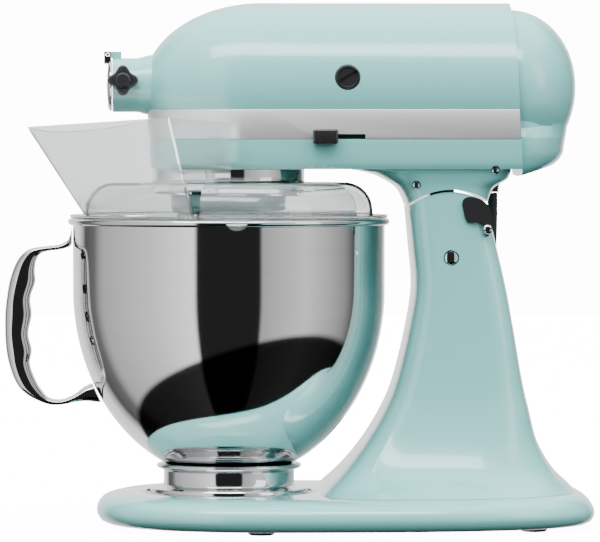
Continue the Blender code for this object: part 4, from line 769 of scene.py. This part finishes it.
def make_rear_cover():
    start = HEAD_REAR + 0.3
    outer = dome_profile(COVER_RADIUS, COVER_LENGTH, 90, -30, 40)
    half, reach, height = outer[-1]
    outer[-1] = (half + 0.2, reach, height)
    skirt = smooth_line([(52.0, 38.2, 268.0), (51.5, 37.0, 262.0), (49.6, 36.0, 254.6), (46.0, 33.0, 248.6),
                         (41.0, 29.0, 245.6)], 5) + [(0, 0, 245.0)]
    inner = [(0, 0, 350.0), (30.0, 25.0, 342.0), (47.0, 38.0, 318.0), (49.0, 38.0, 290.0), (46.0, 33.0, 258.0),
             (0, 0, 250.0)]
    shell = nosed_shell(outer + skirt, inner, start, start, 0, 1)
    for point in shell.verts:
        below = max(0.0, (SKIRT_TOP - point.co.z) / SKIRT_HEIGHT)
        point.co.z += below * SKIRT_SLOPE * (point.co.x - SKIRT_LEVEL_X)
        lean = LEAN * max(0.0, HEAD_AXIS + HEAD_RADIUS - point.co.z)
        point.co.x += lean * (1 - min(1.0, max(0.0, point.co.x - start) / COVER_LENGTH))
    cut = rod(4.0, start + 44.0, 260, "X", (0, 0, HEAD_AXIS))
    cover = combine(shell, (CUT, cut))
    return finish_piece("motor_cover", cover, "head", PAINT, ["rear_cover"], 40)


make_band()
make_rear_cover()
screw = screw_head(3.5, 1.6, 0.4, "X", (HEAD_REAR + 44.6, 0, HEAD_AXIS), 15)
finish_piece("motor_cover_screw", screw, "head", CHROME, ["rear_cover_screw"])
for side, name in ((-1, "left"), (1, "right")):
    for (x, z, half), place in zip(HOUSING_SCREWS, ("front", "rear")):
        turn = 50 if place == "front" else 110
        head = screw_head(2.65, side * 1.3, 2.2, "Y", (x, side * (half - 1.2), z), turn, 0.7)
        finish_piece(f"casting_screw_{name}_{place}", head, "head", CHROME, [f"housing_screw_{name}_{place}"])
    cap = lathe([(0, 49.6), (8.35, 49.6), (8.35, 57.6), (8.1, 58.2), (7.6, 58.6), (6.6, 58.6), (6.2, 58.0),
                 (0, 58.0)], 64)
    groove = block((-7.4, -1.1, 56.9), (7.4, 1.1, 60))
    groove.transform(Matrix.Rotation(math.radians(-30 * side), 4, "Z"))
    cap = combine(cap, (CUT, groove))
    if side < 0:
        cap.transform(Matrix.Rotation(math.pi, 4, "X"))
    cap.transform(turn_to("Y", (BRUSH_X, 0, MOTOR_AXIS)))
    finish_piece(f"brush_holder_cap_{name}", cap, "head", BLACK, [f"brush_cap_{name}"])
print("head pieces so far:", len(pieces_made))

# %% [markdown]
# ## Hub cover, knob and levers
# The cover is a shallow turned lid that hangs from a pin. The knob has four soft lobes, so its
# outline is a circle that swells four times. The levers are small bevelled grips in slots.

# %% Hub cover, knob and levers
def make_hub_cover():
    front = HUB_FRONT + 0.3
    lid = lathe([(radius, front + rise) for radius, rise in (
        (0, 0), (17.2, 0), (17.9, 0.4), (18.0, 1.1), (17.2, 1.7), (16.2, 2.6), (14.5, 2.9), (13.5, 2.5), (8, 3.3),
        (0, 3.8))], 96)
    lid.transform(Matrix.Translation((0, 0, HUB_AXIS)) @ Matrix.Rotation(math.radians(-90), 4, "Y"))
    steps = []
    for side in (-1, 1):
        low, high = sorted((side * 3.4, side * 6.4))
        steps.append((FUSE, block((HINGE[0] - 2.6, low, HUB_AXIS + 14.5),
                                  (HINGE[0] + 2.5, high, HINGE[2] + LUG), 0.6)))
    steps.append((CUT, rod(LID_PIN_HOLE, -10, 10, "Y", HINGE, 24)))
    return finish_piece("hub_lid", combine(lid, *steps), "hub_cover", CHROME, ["hub_cover"], 35)


def make_knob():
    start = 20.2
    outline = []
    for i in range(96):
        angle = 2 * math.pi * i / 96
        radius = 9.0 + 1.5 * math.cos(4 * angle)
        outline.append((radius * math.cos(angle), radius * math.sin(angle)))
    knob = prism(outline, start, start + 9.5, "Z")
    top_edges = [edge for edge in knob.edges if abs(edge.verts[0].co.z - edge.verts[1].co.z) < 1e-4]
    bmesh.ops.bevel(knob, geom=top_edges, offset=1.3, segments=4, profile=0.5, affect="EDGES", material=-1)
    crown = lathe([(0, start + 9), (5.4, start + 9), (5.2, start + 10.6), (4.2, start + 11.7), (0, start + 12)], 48)
    knob = joined(knob, crown)
    knob.transform(Matrix.Translation(KNOB) @ Matrix.Rotation(math.radians(90), 4, "X"))
    return finish_piece("clamp_knob", knob, "hub_knob", BLACK, ["hub_knob"], 40)


def make_lever(name, node, side, front, width, travel):
    def part(x0, x1, y0, y1, z0, z1, edge):
        low, high = sorted((side * y0, side * y1))
        return block((front + x0, low, LEVER_Z + z0), (front + x1, high, LEVER_Z + z1), edge, 3)
    grip = part(0, width, 56.8, 64.3, -5, 5, 1.3)
    ribs = [part(2.2 + k * (width - 4.4) / 4 - 0.35, 2.2 + k * (width - 4.4) / 4 + 0.35, 63.9, 64.3, -4, 4, 0.15)
            for k in range(5)]
    stem = part(0.5, 5, 48.5, 57.5, -1.3, 1.3, 0.2)
    guide = part(-travel, width + travel, 46.5, 49.0, -3.5, 3.5, 0.3)
    return finish_piece(name, joined(grip, stem, guide, *ribs), node, BLACK, [node], 40)


make_hub_cover()
make_knob()
make_lever("lock_grip", "lock_lever", -1, LOCK_SLOT[0], width=17.0, travel=18.9)
make_lever("speed_grip", "speed_lever", 1, SPEED_SLOT[0], width=15.0, travel=45.0)

relief = [(3.8, CORD_EXIT[2])]
for k in range(9):
    z = CORD_EXIT[2] + 0.4 + k * 1.5
    radius = 4.6 + k * 0.22
    relief += [(radius, z), (radius, z + 0.8), (radius - 0.7, z + 0.95), (radius - 0.7, z + 1.35)]
relief += [(6.7, CORD_EXIT[2] + 14.2), (6.9, CORD_EXIT[2] + 24), (3.8, CORD_EXIT[2] + 24)]
boot = lathe(relief, 48, centre=(CORD_EXIT[0], CORD_EXIT[1], 0))
finish_piece("cord_boot", boot, "head", RUBBER, ["strain_relief"], 35)
print("pieces:", len(pieces_made))

# %% [markdown]
# ## Mixing head
# Under the head a polished drip ring surrounds the planetary, a painted disc that carries the
# agitator's shaft. All are turned; the shaft's cross pin locks the beater.

# %% Drip ring, planetary and agitator shaft
AGITATOR_X = -27
PIN_HEIGHT = 196
ring = lathe([(50.0, 229), (51.6, 230.2), (52, 231.4), (52, 245.7), (50.2, 245.7), (50.2, 231.6), (40.8, 230.4),
              (40.8, 229)], 128)
finish_piece("drip_guard", ring, "head", STEEL, ["drip_ring"])
carrier = lathe([(0, 215.6), (33.5, 215.6), (36.2, 216.1), (38.4, 217.6), (39.4, 219.6), (39.6, 221.2), (39.6, 228.2),
                 (38.6, 229.6), (14, 229.6), (12, 231.6), (0, 231.6)], 128)
carrier = combine(carrier, (CUT, rod(5.6, 200, 240, centre=(AGITATOR_X, 0, 0))))
finish_piece("planetary_disc", carrier, "planetary", PAINT, ["planetary"], 34)
shaft = lathe([(0, 186), (3.6, 186), (4.8, 186.6), (5.3, 187.8), (5.3, 207.6), (8.1, 208), (8.5, 208.4), (8.5, 214.8),
               (8.1, 215.3), (5.3, 215.3), (5.3, 241), (0, 241)], 64, centre=(AGITATOR_X, 0, 0))
pin_line = (AGITATOR_X, 0, PIN_HEIGHT)
shaft = combine(shaft, (CUT, rod(1.9, -20, 20, "Y", pin_line, 24)))
finish_piece("beater_shaft", shaft, "agitator", STEEL, ["agitator_shaft"])
cross_pin = rod(1.6, -9.5, 9.5, "Y", pin_line, 24, 0.5)
finish_piece("beater_pin", cross_pin, "agitator", STEEL, ["agitator_pin"])
print("mixing head done")

# %% [markdown]
# ## Bowl
# The bowl is a turned sheet with a rolled rim, a welded foot ring and a wide strap handle. The
# handle is lofted through sections with rounded edges, and its inner side has finger waves.

# %% Bowl, foot and handle
BOWL_RADIUS = 107.5
BOWL_WALL = 1.6
BOWL_RIM = 212.2
BOWL_STRAIGHT = 162.8  # the side is straight above this height
BOWL_CURVE = 131.0  # height of the oval that the side follows below it
BOWL_FLAT = BOWL_STRAIGHT - BOWL_CURVE * math.sqrt(1 - (45.0 / BOWL_RADIUS) ** 2)
BEAD = 2.4


def bowl_radius(height):
    down = max(0.0, BOWL_STRAIGHT - height) / BOWL_CURVE
    return BOWL_RADIUS * math.sqrt(max(0.0, 1 - down ** 2))


def make_bowl():
    outside = []
    for i in range(49):
        height = BOWL_FLAT + (BOWL_STRAIGHT - BOWL_FLAT) * (i / 48) ** 0.9
        outside.append((bowl_radius(height), height))
    inside = [(radius - BOWL_WALL, height + BOWL_WALL * (1 - i / 48)) for i, (radius, height) in enumerate(outside)]
    bead = BOWL_RIM - BEAD
    outline = [(0, BOWL_FLAT)] + outside + [(BOWL_RADIUS, bead - 2.3)]
    outline += arc((BOWL_RADIUS + 1.0, bead), BEAD, -80, 100, 14)
    outline += [(BOWL_RADIUS - 1.0, 211.9), (BOWL_RADIUS - BOWL_WALL, 211.2)] + inside[::-1]
    outline += [(0, BOWL_FLAT + BOWL_WALL)]
    return finish_piece("bowl_body", lathe(outline, 192), "bowl", STEEL, ["bowl_shell"], 50)


def make_bowl_foot():
    seat, top = 22.3, BOWL_FLAT - 0.3
    outline = [(54.4, seat), (54.4, seat + 3.2)]
    outline += smooth_line([(53.9, seat + 4.0), (49.5, seat + 5.0), (46.2, seat + 6.0), (45.0, seat + 8.5)], 4)
    outline += smooth_line([(45.0, top - 5.2), (46.4, top - 4.0), (48.8, top - 3.3), (49.9, top - 1.9),
                            (49.5, top - 0.6), (48.0, top)], 4)
    outline += [(36.0, top), (36.0, top - 1.6), (43.4, top - 1.8), (43.4, seat + 5), (51.5, seat + 2), (51.5, seat)]
    return finish_piece("bowl_foot_ring", lathe(outline, 144), "bowl", STEEL, ["bowl_foot"], 45)


HANDLE_STATIONS = (
    ((-108.2, 206), (-108.2, 194.2)), ((-110.8, 197.5), (-110.4, 192.2)), ((-118, 193.8), (-117.2, 190.3)),
    ((-130, 192.4), (-127.4, 188.8)), ((-138.5, 190.4), (-132.0, 184.5)), ((-145.5, 183.6), (-133.6, 176.4)),
    ((-150.6, 171), (-133.3, 168)), ((-153.2, 157), (-136.8, 157)), ((-154.3, 145.6), (-135.8, 145.6)),
    ((-154.3, 132.5), (-138.2, 132.5)), ((-153.4, 120.5), (-135.8, 121.4)), ((-150.8, 109), (-137.1, 111.8)),
    ((-146, 97.5), (-132.9, 100)), ((-139.5, 90.8), (-128.2, 92.6)), ((-131, 86.2), (-124.4, 88.6)),
    ((-123, 83.6), (-119.5, 87.2)), ((-114, 83.8), (-113.4, 87.6)), ((-105.4, 85.6), (-105.8, 91.2)),
    ((-97, 86), (-99.8, 96)), ((-88.2, 85), (-94.4, 98.4)),
)


def make_handle():
    """A cast strap: every station runs from its outside to its finger side, with rounded edges."""
    outside = smooth_line([pair[0] for pair in HANDLE_STATIONS], 4)
    fingers = smooth_line([pair[1] for pair in HANDLE_STATIONS], 4)
    rings = []
    for outer, inner in zip(outside, fingers):
        ring = []
        for i in range(32):
            angle = 2 * math.pi * i / 32
            across, along = math.cos(angle), math.sin(angle)
            share = 0.5 + 0.5 * math.copysign(abs(across) ** 0.62, across)
            y = 11 * math.copysign(abs(along) ** 0.62, along)
            ring.append(Vector((inner[0] + (outer[0] - inner[0]) * share, y,
                                inner[1] + (outer[1] - inner[1]) * share)))
        rings.append(ring)
    return finish_piece("strap_handle", loft(rings), "bowl", STEEL, ["bowl_handle"], 40)


bowl = make_bowl()
make_bowl_foot()
make_handle()
print("bowl faces:", len(bowl.data.polygons))

# %% [markdown]
# ## Pouring shield
# The shield is clear moulded plastic in two pieces: a domed collar with a flange, cut open for
# the chute and beside the column, and a chute lofted from its throat to its wide mouth.

# %% Shield collar and chute
def wedge(first, last, near, far, low, high):
    return prism(arc((0, 0), far, first, last, 24) + arc((0, 0), near, last, first, 24), low, high, "Z")


def make_collar():
    seat, flange, top = 212.6, 214.6, 236.7
    corner = (80.0, top - 19.0)
    outline = [(97.0, seat), (109.2, seat), (109.5, seat + 0.4), (109.5, flange - 0.4), (109.1, flange),
               (100.0, flange), (99.2, flange + 0.6)] + arc(corner, 19.0, 0, 90, 20)
    outline += [(60.0, top), (59.0, top - 0.8), (59.0, top - 1.4), (59.6, top - 2)] + arc(corner, 17.0, 90, 0, 20)
    tab = prism(arc((3.2, seat + 0.5), 8.0, 180, 360, 24), -113.4, -111.8)
    bridge = block((-4.8, -113.4, seat), (11.2, -104, flange))
    mesh = combine(lathe(outline, 160), (CUT, wedge(190.0, 257.5, 66, 120, flange, 250)),
                   (CUT, wedge(330.0, 358.0, 40, 120, flange, 250)), (FUSE, bridge), (FUSE, tab))
    return finish_piece("splash_collar", mesh, "shield", CLEAR, ["shield_collar"], 30)


def chute_plan(share):
    bottom = [(-99, -18), (-99.5, -36)] + arc((0, 0), 104, 207, 247, 4) + [(-25.6, -101), (-24, -69)]
    top = [(-137, -34), (-137, -76), (-122, -87), (-106, -95), (-90, -101), (-73, -106), (-58, -109), (-42, -110),
           (-42, -70)]
    return [Vector(b).lerp(Vector(t), share) for b, t in zip(bottom, top)]


def inset_plan(plan, distance):
    found = []
    for i, point in enumerate(plan):
        before = (point - plan[i - 1]).normalized()
        after = (plan[(i + 1) % len(plan)] - point).normalized()
        turn = (Vector((-before.y, before.x)) + Vector((-after.y, after.x))).normalized()
        found.append(point + turn * distance / max(0.5, turn.dot(Vector((-before.y, before.x)))))
    return found


def make_chute():
    low = 215.0
    mouth = [275, 274, 271.5, 271.5, 273, 275.5, 278.5, 281, 281]
    rings = []
    for inset, shares in ((0.0, [k / 8 for k in range(9)]), (1.8, [1 - k / 8 for k in range(9)])):
        for share in shares:
            plan = inset_plan(chute_plan(share), inset) if inset else chute_plan(share)
            rings.append([Vector((p.x, p.y, low + (height - low) * share)) for p, height in zip(plan, mouth)])
    hopper = loft(rings + rings[:1], capped=False)
    bmesh.ops.remove_doubles(hopper, verts=hopper.verts, dist=0.001)
    wing = prism([(-42, 280.6), (0, 277.6), (0, 237.1), (-30.5, 237.1)], -71.0, -69.2)
    return finish_piece("pouring_chute", combine(hopper, (FUSE, wing)), "shield", CLEAR, ["shield_chute"], 25)


collar, chute = make_collar(), make_chute()
print("shield faces:", len(collar.data.polygons), len(chute.data.polygons))

# %% [markdown]
# ## Inner parts
# The drive train and motor are already the right shape in the frame: they keep their own
# meshes and only take a finish, steel for gears, copper for the wound and bronze parts.

# %% Finishes of the inner parts
INNER = {
    GEAR: ("armature_shaft", "armature_core", "motor_field", "centre_gear", "step_pinion", "centre_bevel_gear",
           "hub_drive_gear", "ring_gear", "centre_shaft", "agitator_pinion", "hub_cover_pin", "hub_screw"),
    CAST: ("motor_end_bracket", "gear_frame"),
    COPPER: ("commutator", "worm_wheel"),
    CARBON: ("carbon_brush_left", "carbon_brush_right"),
    BLACK: ("cooling_fan",),
}
for finish, names in INNER.items():
    for name in names:
        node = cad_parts[name]
        for socket in node.material_slots:
            socket.material = finish
        if not node.material_slots:
            node.data.materials.append(finish)
print("inner parts finished:", sum(len(names) for names in INNER.values()))

# %% [markdown]
# ## Studio
# The camera sees a white background and a white floor. Shiny surfaces mirror a room with bright
# side panels, a dark front and a soft box overhead, and a key and a fill light add the highlights.

# %% Floor, world and lights
WALL_GLOW = 14.0  # seen by the camera only
FLOOR_GLOW = 13.0  # likewise
ROOM_LIGHT = 2.2  # what shiny surfaces mirror
DAY_LIGHT = 0.10  # matt light from below
SKY_LIGHT = 6.0  # and from straight above


def make_floor():
    mesh = bmesh.new()
    bmesh.ops.create_grid(mesh, x_segments=1, y_segments=1, size=4)
    made = object_from("floor", mesh)
    pale = bpy.data.materials.new("pale_floor")
    pale.use_nodes = True
    tree = pale.node_tree
    seen = add_node(tree, "ShaderNodeLightPath")["Is Camera Ray"]
    glow = add_node(tree, "ShaderNodeMath", {0: seen, 1: FLOOR_GLOW}, operation="MULTIPLY")[0]
    feed(tree, tree.nodes["Principled BSDF"], {
        "Roughness": 0.9, "Base Color": (0.86, 0.86, 0.86, 1), "Emission Color": (1, 1, 1, 1),
        "Emission Strength": glow})
    made.data.materials.append(pale)
    made.visible_glossy = False
    made.visible_diffuse = False


def ramp(tree, factor, stops):
    """Grey steps along a factor, from (place, brightness) pairs."""
    node = tree.nodes.new("ShaderNodeValToRGB")
    for position, value in stops[1:-1]:
        node.color_ramp.elements.new(position)
    for element, (position, value) in zip(node.color_ramp.elements, stops):
        element.position = position
        element.color = (value, value, value, 1)
    feed(tree, node, {"Fac": factor})
    return node.outputs["Color"]


# Round the room: from the back by the left panel, the dark front and the right panel.
PANELS = (
    (0.0, 0.9), (0.09, 0.7), (0.13, 0.06), (0.17, 0.10), (0.20, 0.32), (0.33, 0.52), (0.425, 0.85), (0.432, 0.012),
    (0.56, 0.012), (0.566, 0.30), (0.66, 0.52), (0.76, 0.20), (0.79, 0.05), (0.90, 0.08), (0.93, 0.7), (1.0, 0.9),
)
SOFT_BOX = ((0.0, 0.0), (0.55, 0.0), (0.75, 0.9), (1.0, 1.0))


def make_world():
    world = bpy.data.worlds.new("studio")
    bpy.context.scene.world = world
    world.use_nodes = True
    tree = world.node_tree

    def add(kind, inputs=None, **settings):
        return add_node(tree, "ShaderNode" + kind, inputs, **settings)

    place = add("TexCoord")["Generated"]
    turned = add("Mapping", {"Vector": place, "Rotation": (0, 0, math.radians(90))})["Vector"]
    around = add("TexGradient", {"Vector": turned}, gradient_type="RADIAL")["Fac"]
    # The panels end above the table, lower on the left than on the right.
    tilt = add("VectorMath", {0: place, 1: (-0.2, 0, 1)}, operation="DOT_PRODUCT")["Value"]
    foot = add("MapRange", {"Value": tilt, "From Min": -0.52, "From Max": -0.48, "To Min": 0.02})["Result"]
    lit = add("Math", {0: ramp(tree, around, PANELS), 1: foot}, operation="MULTIPLY")[0]
    rise = add("SeparateXYZ", {"Vector": place})["Z"]
    brightest = add("Math", {0: lit, 1: ramp(tree, rise, SOFT_BOX)}, operation="MAXIMUM")[0]
    mirrored = add("Math", {0: brightest, 1: ROOM_LIGHT}, operation="MULTIPLY")[0]
    # Matt light comes mostly from above, so that the undersides stay deep in colour.
    matt = add("MapRange", {"Value": rise, "From Min": -0.1, "From Max": 1.0, "To Min": DAY_LIGHT,
                            "To Max": SKY_LIGHT})["Result"]
    path = add("LightPath")
    either = add("Mix", {0: path["Is Diffuse Ray"], 2: mirrored, 3: matt})[0]
    seen = add("Mix", {0: path["Is Camera Ray"], 2: either, 3: WALL_GLOW})[0]
    feed(tree, tree.nodes["Background"], {"Color": (1, 1, 1, 1), "Strength": seen})


def make_light(name, place, aim, width, height, power):
    data = bpy.data.lights.new(name, "AREA")
    data.shape = "RECTANGLE"
    data.size, data.size_y = width, height
    data.energy = power
    made = linked(name, data)
    made.location = place
    made.rotation_euler = (Vector(aim) - Vector(place)).to_track_quat("-Z", "Y").to_euler()
    return made


make_floor()
make_world()
make_light("key", (-0.3, -1.35, 2.1), (0, 0, 0.2), 2.2, 0.7, 48)
make_light("fill", (1.8, -1.2, 0.9), (0, 0, 0.2), 0.8, 1.2, 6)
print("studio lit")

# %% [markdown]
# ## Finish
# The finished model must stay inside the frame's box.

bpy.context.view_layer.update()
